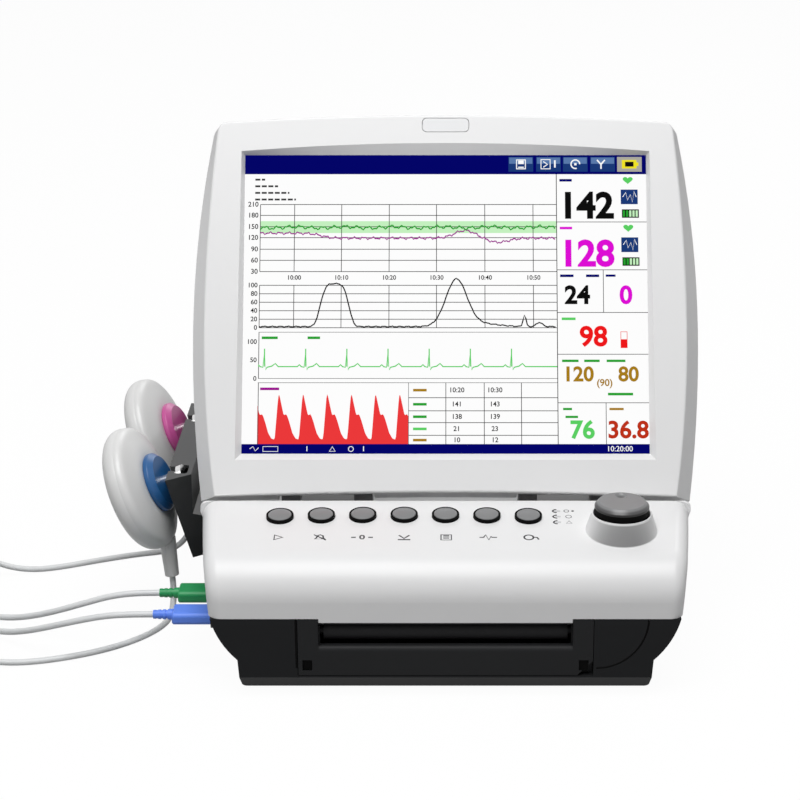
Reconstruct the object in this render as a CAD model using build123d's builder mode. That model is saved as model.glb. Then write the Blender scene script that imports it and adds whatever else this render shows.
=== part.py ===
# A fetal monitor on a desk: a tilting display over a sloped control panel, a dark printer base,
# and a rack at the left side that holds two round transducers with their leads plugged in.
# Millimetres. The front faces -Y, +X is to the right, +Z is up. The origin is the centre of the
# bolt pattern in the underside. The soles of the feet are a little lower.
import math
import os

from build123d import *

os.makedirs("parts", exist_ok=True)

# Base
body_depth = 344.0
body_front = -172.0
body_back = body_front + body_depth
parting_height = 48.0
parting_half_width = 136.5
parting_front_draw = 0.5
shoulder_height = 92.0
shoulder_half_width = 150.5
shoulder_front_draw = 13.0
side_curve_length = 120.0
rear_corner_radius = 15.0
front_roll_radius = 24.0
side_round_radius = 8.0
horn_round_radius = 4.0
deck_height = 73.0
shell_wall = 2.8
overrun = 2.0
seam_gap = 0.3

# Control panel
panel_slope = 7.0
panel_rear_y = -94.0
panel_rear_height = 88.8
panel_horn_x = 134.0
panel_horn_drop = 20.0
lip_half_width = 72.5
lip_height = 2.4
lip_depth = 4.0

# Dark lower housing
bowl_heights = (0.0, 22.0, 34.5)
bowl_half_widths = (118.0, 119.5, 129.2)
bowl_top_half_width = 134.5
bowl_corner_radius = 3.0
bowl_front_chamfer = 11.0
floor_thickness = 3.0
quarter_turn = 90
groove_width = 0.8
groove_depth = 0.8
groove_outer_x = 116.0
groove_inner_x = 86.6
groove_low_height = 17.0

# Feet and mounting pad
foot_radius = 9.0
foot_height = 1.5
foot_embed = 1.0
foot_x = 100.0
foot_inset_front = 32.0
foot_inset_rear = 24.0
foot_front_y = body_front + foot_inset_front
foot_rear_y = body_back - foot_inset_rear
pad_half = 38.0
insert_spacing = 50.0
insert_bore = 4.2
insert_depth = 8.0
pad_boss_height = 9.0

# Display
screen_width = 246.0
screen_height = 184.5
display_tilt = 27.5
front_rise = 118.1
front_fall = 117.2
side_wide_y = -15.0
outer_half_top = 142.0
outer_half_wide = 154.2
outer_half_bottom = 147.5
bevel_width_top = 3.0
bevel_width_wide = 8.2
bevel_width_bottom = 9.2
inner_half_top = outer_half_top - bevel_width_top
inner_half_wide = outer_half_wide - bevel_width_wide
inner_half_bottom = outer_half_bottom - bevel_width_bottom
corner_drop_top = 4.7
corner_drop_bottom = 2.8
outer_corner_radius = 9.0
inner_corner_radius = 6.0
low_corner_share = 0.6
edge_inset = 1.4
bevel_depth = 12.0
bezel_depth = 19.0
display_depth = 40.0
back_inset = 11.0
window_half_top = 124.9
window_half_bottom = 126.6
window_rise = 98.9
window_corner_rise = 93.8
window_fall = 96.4
screen_inset = 4.0
display_wall = 2.6

# Alarm lamp, vents
lamp_width = 29.0
lamp_height = 9.0
lamp_rise = 110.2
lamp_radius = 3.0
lamp_depth = 3.4
lamp_gap = 0.35
vent_length = 60.0
vent_width = 2.4
vent_pitch = 6.0
vent_count = 7
vent_centre_y = 42.0

# Hinge
hinge_y = -66.6
hinge_height = 92.4
hinge_up = 12.0
hinge_back = 22.0
hinge_centre_x = 72.0
hinge_width = 55.0
hinge_barrel_radius = 10.0
hinge_pin_radius = 3.0
hinge_cheek_width = 11.0
hinge_side_gap = 0.4
hinge_fit = 0.04
hinge_foot_thickness = 4.0
hinge_foot_length = 26.0
hinge_notch_height = 26.0
hinge_notch_margin = 1.5
hinge_tongue_thickness = 5.0
hinge_tongue_length = 34.0
bracket_screw_radius = 2.0

# LCD and boards in the display
lcd_margin = 5.0
lcd_thickness = 6.0
chassis_thickness = 1.6
display_board_width = 150.0
display_board_height = 90.0
display_board_rise = 10.0
board_thickness = 1.6
board_stand = 3.0
chip_size = 18.0
chip_height = 2.5

# Keys
key_count = 7
key_pitch = 24.4
key_middle_index = 4
key_row_y = -112.6
key_row_sag = 0.16
key_cap_radius = 6.8
key_skirt_radius = 6.4
key_cap_rise = 3.2
key_dome = 1.1
key_stem_length = 6.0
key_travel = 1.2
key_fit = 0.35
ring_outer_radius = 8.1
ring_rise = 2.0
ring_web_thickness = 1.2
gasket_margin = 6.0
switch_size = 7.0
switch_height = 2.2

# Knob
knob_x = 102.6
knob_y = -127.5
boss_foot_radius = 23.6
boss_foot_height = 77.0
boss_rim_radius = 17.5
boss_rim_height = 94.9
boss_well_radius = 16.7
boss_well_depth = 7.0
knob_radius = 15.9
knob_top_radius = 13.6
knob_top_height = 102.4
knob_shoulder = 2.6
knob_clear = 1.4
knob_edge_radius = 0.8
knob_skirt_rise = 3.6
knob_dimple_radius = 3.6
knob_dimple_depth = 1.5
knob_dimple_offset = 8.4
knob_bore_depth = 11.0
shaft_radius = 3.0
shaft_fit = 0.04
encoder_size = 13.0
encoder_height = 6.5
bushing_radius = 4.6
bushing_wall_gap = 0.05
knob_push = 0.8

# Indicator lamps beside the keys
indicator_x = 66.3
indicator_length = 3.4
indicator_width = 1.5
indicator_pitch = 6.6
indicator_middle_y = -113.0
indicator_proud = 0.25

# Printer
slot_half_width = 73.0
roller_height = 36.6
roller_y = -162.0
roller_radius = 5.2
roller_half_length = 70.0
roller_shaft_radius = 2.5
roller_shaft_extra = 9.0
gear_width = 4.0
gear_module = 0.8
gear_teeth = 10
pinion_teeth = 10
gear_x = 76.5
gear_slack = 0.15
motor_shaft_radius = 1.5
motor_radius = 12.5
motor_length = 24.0
head_depth = 22.0
head_height = 7.0
head_gap = 0.3

# Drawer
drawer_half_width = 84.6
drawer_top_height = 47.4
drawer_notch_height = 30.6
drawer_low_height = 12.4
drawer_front_thickness = 4.5
drawer_wall = 2.2
drawer_rear_room = 179.0
drawer_length = body_depth - drawer_rear_room
drawer_tray_height = 15.0
cheek_depth = 16.0
drawer_gap = 0.4
drawer_lower_corner = 9.0
drawer_front_radius = 3.0
paper_width = 150.0
paper_front_room = 65.0
paper_length = drawer_length - paper_front_room
paper_thickness = 12.0
latch_size = 6.2
latch_width = 5.0
latch_height = 18.6
latch_x = 79.4
latch_recess = 1.0
latch_length = 5.0
latch_fit = 0.3
runner_width = 6.0
cavity_back = 8.0

# Boards and units in the base
main_board_width = 210.0
main_board_depth = 130.0
main_board_rear_gap = 22.0
main_board_y = body_back - main_board_rear_gap - main_board_depth / 2
main_board_height = 12.0
post_radius = 3.5
supply_width = 70.0
supply_depth = 110.0
supply_height = 34.0
supply_x = 66.0
supply_rear_gap = 21.0
supply_y = body_back - supply_rear_gap - supply_depth / 2
battery_width = 74.0
battery_depth = 100.0
battery_height = 22.0
battery_x = -62.0
battery_rear_gap = 26.0
battery_y = body_back - battery_rear_gap - battery_depth / 2
speaker_radius = 22.0
speaker_thickness = 12.0
speaker_x = 114.2
speaker_rim = 3.0
speaker_y = -10.0
speaker_height = 34.0
grille_holes = 5
grille_radius = 1.6
grille_pitch = 6.0

# Power inlet and housing screws
inlet_x = 70.0
inlet_height = 30.0
inlet_width = 28.0
inlet_size = 22.0
inlet_depth = 16.0
inlet_pin_pitch = 7.0
inlet_pin_rise = 4.0
inlet_pin_width = 2.0
screw_x = 108.0
screw_inset_front = 54.0
screw_inset_rear = 44.0
screw_front_y = body_front + screw_inset_front
screw_rear_y = body_back - screw_inset_rear
screw_seat = 0.6
screw_head_radius = 3.4
screw_head_height = 2.0
screw_radius = 1.75
screw_length = 9.0
screw_post_radius = 5.0

# Input sockets and plugs on the left side
socket_height = 33.0
socket_front_y = -134.0
socket_rear_y = -104.0
socket_face_x = -137.6
socket_depth = 19.0
socket_thickness = 10.5
socket_flange = 15.0
plug_body_length = 22.6
plug_depth = 16.0
plug_thickness = 7.5
plug_pin_length = 8.0
plug_pin_depth = 12.0
plug_pin_thickness = 5.0
plug_pin_fit = 0.15
plug_radius = 2.6
relief_length = 11.6
relief_radius = 3.3
relief_end_radius = 2.6
relief_rib_count = 3
relief_rib_gap = 1.3
relief_rib_depth = 0.8

# Rack
rack_top_height = 95.0
rack_bottom_height = 40.0
rack_neck_height = 69.0
rack_joint_height = 62.0
rack_outer_x = -169.6
rack_low_outer_x = -156.0
rack_wall = 2.0
rack_gap = 0.4
rack_display_gap = 0.8
rack_front_y = -79.0
rack_front_slant = 13.0
rack_rear_y = 62.0
rack_slot_width = 7.6
rack_slot_depth = 9.6
rack_hole_length = 14.0
rack_hole_width = 8.2
rack_hole_x = -161.8
rack_hole_inset = 5.0

# Transducers
transducer_radius = 38.5
transducer_cap_x = -172.5
transducer_cap_height = 87.5
front_transducer_y = -57.0
rear_transducer_y = 35.0
cap_radius = 18.4
cap_thickness = 6.0
neck_radius = 2.8
button_radius = 5.6
button_thickness = 3.2
neck_length = 13.2
disc_thickness = 19.0
rim_round = 6.0
transducer_axis_x = 0.92
transducer_axis_y = -0.10
transducer_axis_z = 0.38
boot_length = 25.0
boot_embed = 3.0
boot_lean_x = 2.0
boot_radius = 5.2
boot_end_radius = 4.4

# Leads
lead_radius = 1.9
lead_floor_gap = 0.2
coil_centre_x = -322.0
coil_front_y = -106.4
coil_rear_y = -34.0
coil_inner_radius = 14.2
coil_pitch = 5.2
coil_layer_rise = 4.3
coil_turns_per_layer = 3
coil_layers = 4
coil_samples = 900


def mirrored_points(points):
    """The points and their mirror images in X, in one closed order."""
    return points + [(-x, y) for x, y in reversed(points)]


def body_half(height):
    """Half-width of the white housing's straight sides at a height."""
    share = (height - parting_height) / (shoulder_height - parting_height)
    return parting_half_width + share * (shoulder_half_width - parting_half_width)


def housing_block(inset):
    """The white housing's sides and rear, drawn in by inset. They widen upward and from the front."""
    front = body_front + inset
    back = body_back - inset
    curve_end = body_front + side_curve_length
    with BuildPart() as block:
        for height, half, draw in (
            (parting_height, parting_half_width - inset, parting_front_draw),
            (shoulder_height, shoulder_half_width - inset, shoulder_front_draw),
        ):
            with BuildSketch(Plane.XY.offset(height)):
                with BuildLine():
                    Line((-half + draw, front), (half - draw, front))
                    TangentArc((half, curve_end), (half - draw, front), tangent=(0, -1))
                    Polyline((half, curve_end), (half, back), (-half, back), (-half, curve_end))
                    TangentArc((-half, curve_end), (-half + draw, front), tangent=(0, -1))
                make_face()
        loft()
        rear_edges = (
            block.edges()
            .filter_by(lambda edge: edge.center().Y > back - overrun)
            .filter_by(lambda edge: edge.bounding_box().size.Z > overrun)
        )
        fillet(rear_edges, radius=rear_corner_radius - inset)
    return block.part


slope = math.radians(panel_slope)
panel_normal = Vector(0, -math.sin(slope), math.cos(slope))
panel_plane = Plane(
    origin=(0, panel_rear_y, panel_rear_height),
    x_dir=(1, 0, 0),
    z_dir=panel_normal,
)


def panel_point(x, y):
    """The point of the panel's surface over x, y."""
    return Vector(x, y, panel_rear_height + (y - panel_rear_y) * math.tan(slope))


def under_panel(inset):
    """A block below the panel's slope and behind its rolled front, drawn in by inset."""
    front = body_front + inset
    back = body_back + overrun
    low = parting_height - lip_height - overrun
    drop = inset / math.cos(slope)
    with BuildPart() as block:
        with BuildSketch(Plane.YZ.offset(-shoulder_half_width - overrun)) as profile:
            Polygon(
                (front, low),
                (front, panel_point(0, front).Z - drop),
                (back, panel_point(0, back).Z - drop),
                (back, low),
                align=None,
            )
            roll_corner = profile.vertices().group_by(Axis.X)[0].sort_by(Axis.Y)[-1]
            fillet(roll_corner, radius=front_roll_radius - inset)
        extrude(amount=2 * (shoulder_half_width + overrun))
    return block.part


def panel_form(inset, radius):
    """The control panel's form with its side edges rounded by radius, drawn in by inset."""
    rear = panel_rear_y
    with BuildPart() as form:
        add(housing_block(inset))
        add(under_panel(inset), mode=Mode.INTERSECT)
        with BuildSketch(Plane.XY.offset(parting_height)):
            with Locations((0, (rear + body_front) / 2)):
                Rectangle(2 * shoulder_half_width, rear - body_front)
        extrude(amount=shoulder_height, mode=Mode.INTERSECT)
        side_edges = (
            form.edges()
            .filter_by(lambda edge: abs(edge.center().X) > lip_half_width)
            .filter_by(lambda edge: edge.center().Z > parting_height + overrun)
            .filter_by(lambda edge: edge.center().Y < rear - overrun)
        )
        fillet(side_edges, radius=radius)
    return form.part


def panel_zone(gap):
    """A block over the control panel's plan, held back by gap at its rear seam."""
    side = shoulder_half_width + overrun
    rear = panel_rear_y - gap
    front = body_front - overrun
    corner = rear - panel_horn_drop
    with BuildPart() as zone:
        with BuildSketch(Plane.XY.offset(parting_height - lip_height - overrun)):
            with BuildLine():
                Line((-panel_horn_x, rear), (panel_horn_x, rear))
                TangentArc((panel_horn_x, rear), (side, corner), tangent=(1, 0))
                TangentArc((-panel_horn_x, rear), (-side, corner), tangent=(-1, 0))
                Polyline((side, corner), (side, front), (-side, front), (-side, corner))
            make_face()
        extrude(amount=shoulder_height)
    return zone.part


# Shared places of the keys
key_places = []
for index in range(key_count):
    key_x = (index - key_middle_index) * key_pitch
    key_y = key_row_y - key_row_sag * (index - (key_count - 1) / 2) ** 2
    key_places.append((key_x, key_y))


def key_plane(x, y, rise):
    """A plane square to the panel over a key's place, raised by rise."""
    return Plane(
        origin=panel_point(x, y) + panel_normal * rise,
        x_dir=(1, 0, 0),
        z_dir=panel_normal,
    )


# Control panel: the white front shell with the key holes, the knob's boss and the paper lip
with BuildPart() as control_panel:
    add(panel_form(0, side_round_radius))
    add(panel_zone(0), mode=Mode.INTERSECT)
    with BuildSketch(Plane.XY.offset(boss_rim_height)):
        with Locations((knob_x, knob_y)):
            Circle(boss_rim_radius)
    with BuildSketch(Plane.XY.offset(boss_foot_height)):
        with Locations((knob_x, knob_y)):
            Circle(boss_foot_radius)
    loft()
    with BuildSketch(Plane.XY.offset(parting_height - lip_height)):
        with Locations((0, body_front + lip_depth / 2)):
            Rectangle(2 * lip_half_width, lip_depth)
    extrude(amount=lip_height + shell_wall)
panel_outer = control_panel.part

with BuildPart() as panel_hollow:
    add(panel_form(shell_wall, side_round_radius - shell_wall))
    with BuildSketch(Plane.XY.offset(parting_height - overrun)):
        with Locations((0, (panel_rear_y - shell_wall + body_front + shell_wall) / 2)):
            Rectangle(
                2 * shoulder_half_width,
                panel_rear_y - body_front - 2 * shell_wall,
            )
    extrude(amount=shoulder_height, mode=Mode.INTERSECT)

with BuildPart() as control_panel:
    add(panel_outer)
    add(panel_hollow.part, mode=Mode.SUBTRACT)
    with BuildSketch(Plane.XY.offset(parting_height)):
        with Locations((0, panel_rear_y)):
            Rectangle(2 * (panel_horn_x - 2 * shell_wall), 4 * shell_wall)
    extrude(amount=deck_height - parting_height - shell_wall, mode=Mode.SUBTRACT)
    for key_x, key_y in key_places:
        with BuildSketch(key_plane(key_x, key_y, overrun)):
            Circle(ring_outer_radius)
        extrude(amount=-shell_wall - 2 * overrun, mode=Mode.SUBTRACT)
    for step in (-1, 0, 1):
        with BuildSketch(key_plane(indicator_x, indicator_middle_y + step * indicator_pitch, overrun)):
            SlotOverall(indicator_length, indicator_width)
        extrude(amount=-shell_wall - 2 * overrun, mode=Mode.SUBTRACT)
    with BuildSketch(Plane.XY.offset(boss_rim_height)):
        with Locations((knob_x, knob_y)):
            Circle(boss_well_radius)
    extrude(amount=-boss_well_depth, mode=Mode.SUBTRACT)
    with BuildSketch(Plane.XY.offset(boss_rim_height)):
        with Locations((knob_x, knob_y)):
            Circle(bushing_radius + bushing_wall_gap)
    extrude(amount=-shoulder_height, mode=Mode.SUBTRACT)
control_panel.part.label = "control_panel"
export_step(control_panel.part, "parts/control_panel.step")

# Upper housing: the white rear shell with the deck under the display
with BuildPart() as upper_housing:
    add(housing_block(0))
    with BuildSketch(Plane.XY.offset(parting_height)):
        with Locations((0, (panel_rear_y + body_back) / 2)):
            Rectangle(2 * shoulder_half_width, body_back - panel_rear_y)
    extrude(amount=deck_height - parting_height, mode=Mode.INTERSECT)
    deck_edges = (
        upper_housing.faces()
        .sort_by(Axis.Z)[-1]
        .outer_wire()
        .edges()
        .filter_by(lambda edge: edge.center().Y > panel_rear_y + overrun)
    )
    fillet(deck_edges, radius=shell_wall)
    add(panel_form(0, horn_round_radius))
    add(panel_zone(-seam_gap), mode=Mode.SUBTRACT)
    with BuildSketch(Plane.XY.offset(deck_height)):
        with Locations((0, (panel_rear_y + body_back) / 2)):
            Rectangle(2 * shoulder_half_width, body_back - panel_rear_y)
    extrude(amount=shoulder_height, mode=Mode.SUBTRACT)
upper_outer = upper_housing.part

with BuildPart() as upper_hollow:
    add(housing_block(shell_wall))
    with BuildSketch(Plane.XY.offset(parting_height - overrun)):
        with Locations((0, (panel_rear_y + shell_wall + body_back) / 2)):
            Rectangle(2 * shoulder_half_width, body_back - panel_rear_y - shell_wall)
    extrude(amount=deck_height - parting_height - shell_wall + overrun, mode=Mode.INTERSECT)

with BuildPart() as upper_housing:
    add(upper_outer)
    add(upper_hollow.part, mode=Mode.SUBTRACT)
    with BuildSketch(Plane.XY.offset(parting_height)):
        with Locations((0, panel_rear_y)):
            Rectangle(2 * (panel_horn_x - 2 * shell_wall), 4 * shell_wall)
    extrude(amount=deck_height - parting_height - shell_wall, mode=Mode.SUBTRACT)
    with BuildSketch(Plane.XY.offset(deck_height)):
        for side in (-1, 1):
            with Locations((side * hinge_centre_x, hinge_y)):
                with GridLocations(hinge_width / 2, hinge_foot_length / 2, 2, 2):
                    Circle(bracket_screw_radius)
    extrude(amount=-shell_wall - overrun, mode=Mode.SUBTRACT)
upper_housing.part.label = "upper_housing"
export_step(upper_housing.part, "parts/upper_housing.step")


def bowl_profile(inset):
    """The dark base's section across the machine, drawn in by inset."""
    low = [
        (half - inset, height)
        for half, height in zip(bowl_half_widths, bowl_heights, strict=True)
    ]
    return low + [(bowl_top_half_width - inset, parting_height)]


# Lower housing: the dark base with the drawer's bay, its runners and the mounting pad
bay_half = drawer_half_width + drawer_gap
bay_back_y = body_front + drawer_length + cavity_back
bay_wall_top = roller_height + roller_radius + head_gap
gear_pitch_radius = gear_module * (gear_teeth + pinion_teeth) / 4
with BuildPart() as lower_housing:
    with BuildSketch(Plane.XZ.offset(-body_front)):
        with BuildLine():
            points = bowl_profile(0)
            Polyline(*[(-x, z) for x, z in points[:2]])
            ThreePointArc(*[(-x, z) for x, z in points[1:]])
            Line((-points[3][0], points[3][1]), points[3])
            ThreePointArc(*[points[i] for i in (3, 2, 1)])
            Polyline(points[1], points[0])
            Line(points[0], (-points[0][0], points[0][1]))
        make_face()
    extrude(amount=-body_depth)
    low_edges = lower_housing.edges().filter_by(Axis.Y).group_by(Axis.Z)[0]
    fillet(low_edges, radius=bowl_corner_radius)
lower_outer = lower_housing.part

with BuildPart() as lower_hollow:
    with BuildSketch(Plane.XZ.offset(-body_front - 2 * shell_wall)):
        with BuildLine():
            points = bowl_profile(shell_wall)
            Polyline((-points[0][0], floor_thickness), (-points[1][0], points[1][1]))
            ThreePointArc(*[(-x, z) for x, z in points[1:]])
            Polyline(
                (-points[3][0], parting_height),
                (-points[3][0], parting_height + overrun),
                (points[3][0], parting_height + overrun),
                (points[3][0], parting_height),
            )
            ThreePointArc(*[points[i] for i in (3, 2, 1)])
            Polyline(points[1], (points[0][0], floor_thickness))
            Line((points[0][0], floor_thickness), (-points[0][0], floor_thickness))
        make_face()
    extrude(amount=-body_depth + 4 * shell_wall)

with BuildPart() as lower_housing:
    add(lower_outer)
    add(lower_hollow.part, mode=Mode.SUBTRACT)
    sill_depth = bowl_front_chamfer + shell_wall
    with BuildSketch(Plane.XY.offset(floor_thickness)):
        with Locations((0, body_front + sill_depth / 2)):
            Rectangle(2 * bowl_half_widths[0], sill_depth)
    extrude(amount=drawer_low_height - drawer_gap - floor_thickness)
    with BuildSketch(Plane.YZ.offset(-bowl_top_half_width)):
        Polygon(
            (body_front - overrun, bowl_front_chamfer + overrun),
            (body_front + bowl_front_chamfer + overrun, -overrun),
            (body_front - overrun, -overrun),
            align=None,
        )
    extrude(amount=2 * bowl_top_half_width, mode=Mode.SUBTRACT)
    with BuildSketch(Plane.XZ.offset(-body_front + overrun)):
        with Locations((0, (drawer_low_height + parting_height) / 2)):
            Rectangle(2 * bay_half, parting_height - drawer_low_height + 2 * drawer_gap)
    extrude(amount=-2 * shell_wall - 2 * overrun, mode=Mode.SUBTRACT)
    with BuildSketch(Plane.XY.offset(floor_thickness)):
        for side in (-1, 1):
            with Locations((side * (bay_half + drawer_wall / 2), (body_front + bay_back_y) / 2 + cavity_back)):
                Rectangle(drawer_wall, bay_back_y - body_front - 2 * cavity_back)
    extrude(amount=bay_wall_top - floor_thickness)
    with BuildSketch(Plane.XY.offset(floor_thickness)):
        for side in (-1, 1):
            with Locations((side * (bay_half - runner_width / 2), (body_front + bay_back_y) / 2 + cavity_back)):
                Rectangle(runner_width, bay_back_y - body_front - 2 * cavity_back)
    extrude(amount=drawer_low_height - floor_thickness - drawer_gap)
    with BuildSketch(Plane.YZ.offset(bay_half - overrun)):
        with Locations((roller_y + 2 * gear_pitch_radius + gear_slack, roller_height)):
            Circle(motor_shaft_radius + hinge_side_gap)
    extrude(amount=drawer_wall + 2 * overrun, mode=Mode.SUBTRACT)
    with BuildSketch(Plane.XY.offset(floor_thickness)):
        Rectangle(2 * pad_half, 2 * pad_half)
    extrude(amount=pad_boss_height - floor_thickness)
    with BuildSketch(Plane.XY.offset(0)):
        with GridLocations(insert_spacing, insert_spacing, 2, 2):
            Circle(insert_bore / 2)
    extrude(amount=insert_depth, mode=Mode.SUBTRACT)
    with BuildSketch(Plane.XY.offset(0)):
        for y in (foot_front_y, foot_rear_y):
            with Locations((-foot_x, y), (foot_x, y)):
                Circle(foot_radius + seam_gap)
    extrude(amount=foot_embed, mode=Mode.SUBTRACT)
    screw_places = [(side * screw_x, y) for side in (-1, 1) for y in (screw_front_y, screw_rear_y)]
    with BuildSketch(Plane.XY.offset(0)):
        with Locations(*screw_places):
            Circle(screw_post_radius)
    extrude(amount=screw_seat + screw_head_height + screw_length)
    with BuildSketch(Plane.XY.offset(0)):
        with Locations(*screw_places):
            Circle(screw_head_radius + seam_gap)
    extrude(amount=screw_seat + screw_head_height, mode=Mode.SUBTRACT)
    with BuildSketch(Plane.XY.offset(0)):
        with Locations(*screw_places):
            Circle(screw_radius + shaft_fit)
    extrude(amount=screw_seat + screw_head_height + screw_length + overrun, mode=Mode.SUBTRACT)
    with BuildSketch(Plane.XZ.offset(-body_back - overrun)):
        with Locations((inlet_x, inlet_height)):
            RectangleRounded(inlet_width, inlet_size, post_radius)
    extrude(amount=2 * shell_wall + 2 * overrun, mode=Mode.SUBTRACT)
    with BuildSketch(Plane.YZ.offset(-bowl_top_half_width - overrun)):
        for y in (socket_front_y, socket_rear_y):
            with Locations((y, socket_height)):
                Rectangle(socket_depth + seam_gap, socket_thickness + seam_gap)
    extrude(amount=socket_flange, mode=Mode.SUBTRACT)
    with BuildSketch(Plane.YZ.offset(bowl_top_half_width + overrun)):
        with Locations((speaker_y, speaker_height)):
            with GridLocations(grille_pitch, grille_pitch, grille_holes, grille_holes - 2):
                Circle(grille_radius)
    extrude(amount=-socket_flange, mode=Mode.SUBTRACT)
    with BuildLine() as groove_path:
        EllipticalCenterArc(
            (groove_inner_x, parting_height),
            groove_outer_x - groove_inner_x,
            parting_height - groove_low_height,
            start_angle=3 * quarter_turn,
            arc_size=quarter_turn,
        )
    with BuildSketch(Plane.XZ.offset(-body_front)):
        trace(Plane.XY * groove_path.line, line_width=groove_width)
    extrude(amount=-groove_depth, mode=Mode.SUBTRACT)
lower_housing.part.label = "lower_housing"
export_step(lower_housing.part, "parts/lower_housing.step")

# Display: its own plane has its origin at the screen's centre on the front face
tilt = math.radians(display_tilt)
display_up = Vector(0, math.sin(tilt), math.cos(tilt))
display_out = Vector(0, -math.cos(tilt), math.sin(tilt))
hinge_point = Vector(0, hinge_y, hinge_height)
display_plane = Plane(
    origin=hinge_point + display_up * (front_fall - hinge_up) + display_out * hinge_back,
    x_dir=(1, 0, 0),
    z_dir=display_out,
)
hinge_rise = hinge_up - front_fall


def display_outline(half_top, half_wide, half_bottom, inset, radius):
    """The display's bowed outline, its top and bottom drawn in by inset, its low corners tighter."""
    top_y = front_rise - inset
    low_y = -front_fall + inset
    corner_top = (half_top, top_y - corner_drop_top)
    corner_low = (half_bottom, low_y - corner_drop_bottom)
    with BuildSketch() as outline:
        with BuildLine():
            ThreePointArc((-corner_top[0], corner_top[1]), (0, top_y), corner_top)
            ThreePointArc((-corner_low[0], corner_low[1]), (0, low_y), corner_low)
            for side in (-1, 1):
                wide = (side * half_wide, side_wide_y)
                TangentArc(wide, (side * corner_top[0], corner_top[1]), tangent=(0, 1))
                TangentArc(wide, (side * corner_low[0], corner_low[1]), tangent=(0, -1))
        make_face()
        corners = outline.vertices().filter_by(lambda v: abs(v.Y - side_wide_y) > lamp_width)
        low_corners = corners.filter_by(lambda v: v.Y < side_wide_y)
        fillet(corners.filter_by(lambda v: v.Y > side_wide_y), radius=radius)
        fillet(low_corners, radius=radius * low_corner_share)
    return outline.sketch


outer_outline = display_outline(
    outer_half_top, outer_half_wide, outer_half_bottom, 0, outer_corner_radius
)
inner_outline = display_outline(
    inner_half_top, inner_half_wide, inner_half_bottom, edge_inset, inner_corner_radius
)
cavity_outline = display_outline(
    inner_half_top - display_wall,
    inner_half_wide - display_wall,
    inner_half_bottom - display_wall,
    edge_inset + display_wall,
    inner_corner_radius,
)
back_outline = display_outline(
    outer_half_top - back_inset,
    outer_half_wide - back_inset,
    outer_half_bottom - back_inset,
    back_inset,
    outer_corner_radius,
)
back_cavity_outline = display_outline(
    outer_half_top - back_inset - display_wall,
    outer_half_wide - back_inset - display_wall,
    outer_half_bottom - back_inset - display_wall,
    back_inset + display_wall,
    inner_corner_radius,
)


def hinge_notch(top_y, front_z, back_z):
    """Two blocks at the display's lower edge that leave room for the hinges."""
    low_y = -front_fall - corner_drop_bottom - overrun
    with BuildPart() as notch:
        with BuildSketch(display_plane.offset(front_z)):
            with Locations(*[(side * hinge_centre_x, (low_y + top_y) / 2) for side in (-1, 1)]):
                Rectangle(hinge_width + 2 * hinge_notch_margin, top_y - low_y)
        extrude(amount=back_z - front_z)
    return notch.part


# Front bezel with its sloped window
with BuildPart() as display_bezel:
    with BuildSketch(display_plane):
        add(inner_outline)
    with BuildSketch(display_plane.offset(-bevel_depth)):
        add(outer_outline)
    loft()
    with BuildSketch(display_plane.offset(-bevel_depth)):
        add(outer_outline)
    extrude(amount=-(bezel_depth - bevel_depth))
    front_edges = (
        display_bezel.faces().filter_by(lambda f: f.normal_at().dot(display_out) > 0.999)
        .sort_by(SortBy.AREA)[-1].outer_wire().edges()
    )
    fillet(front_edges, radius=edge_inset)
    with BuildSketch(display_plane):
        with BuildLine():
            ThreePointArc(
                (-window_half_top, window_corner_rise),
                (0, window_rise),
                (window_half_top, window_corner_rise),
            )
            Polyline(
                (window_half_top, window_corner_rise),
                (window_half_bottom, -window_fall),
                (-window_half_bottom, -window_fall),
                (-window_half_top, window_corner_rise),
            )
        make_face()
    with BuildSketch(display_plane.offset(-screen_inset)):
        Rectangle(screen_width, screen_height)
    loft(mode=Mode.SUBTRACT)
    with BuildSketch(display_plane.offset(-screen_inset)):
        add(cavity_outline)
    extrude(amount=-bezel_depth, mode=Mode.SUBTRACT)
    with BuildSketch(display_plane):
        with Locations((0, lamp_rise)):
            RectangleRounded(lamp_width, lamp_height, lamp_radius)
    extrude(amount=-lamp_depth, mode=Mode.SUBTRACT)
    add(hinge_notch(-front_fall + hinge_notch_height, -screen_inset, -bezel_depth - overrun), mode=Mode.SUBTRACT)
display_bezel.part.label = "display_bezel"
export_step(display_bezel.part, "parts/display_bezel.step")

# Alarm lamp in the bezel's top
with BuildPart() as alarm_lamp:
    with BuildSketch(display_plane.offset(-lamp_depth)):
        with Locations((0, lamp_rise)):
            RectangleRounded(
                lamp_width - 2 * lamp_gap, lamp_height - 2 * lamp_gap, lamp_radius - lamp_gap
            )
    extrude(amount=lamp_depth)
alarm_lamp.part.label = "alarm_lamp"
export_step(alarm_lamp.part, "parts/alarm_lamp.step")

# Back cover with cooling slots
with BuildPart() as display_back_cover:
    with BuildSketch(display_plane.offset(-bezel_depth)):
        add(outer_outline)
    with BuildSketch(display_plane.offset(-display_depth)):
        add(back_outline)
    loft()
    with BuildSketch(display_plane.offset(-bezel_depth)):
        add(cavity_outline)
    with BuildSketch(display_plane.offset(-display_depth + display_wall)):
        add(back_cavity_outline)
    loft(mode=Mode.SUBTRACT)
    with BuildSketch(display_plane.offset(-display_depth - overrun)):
        with Locations((0, vent_centre_y)):
            with GridLocations(2 * vent_length, vent_pitch, 2, vent_count):
                SlotOverall(vent_length, vent_width)
    extrude(amount=display_wall + 2 * overrun, mode=Mode.SUBTRACT)
    add(hinge_notch(-front_fall + hinge_notch_height, -bezel_depth + overrun, -display_depth - overrun), mode=Mode.SUBTRACT)
display_back_cover.part.label = "display_back_cover"
export_step(display_back_cover.part, "parts/display_back_cover.step")

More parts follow.
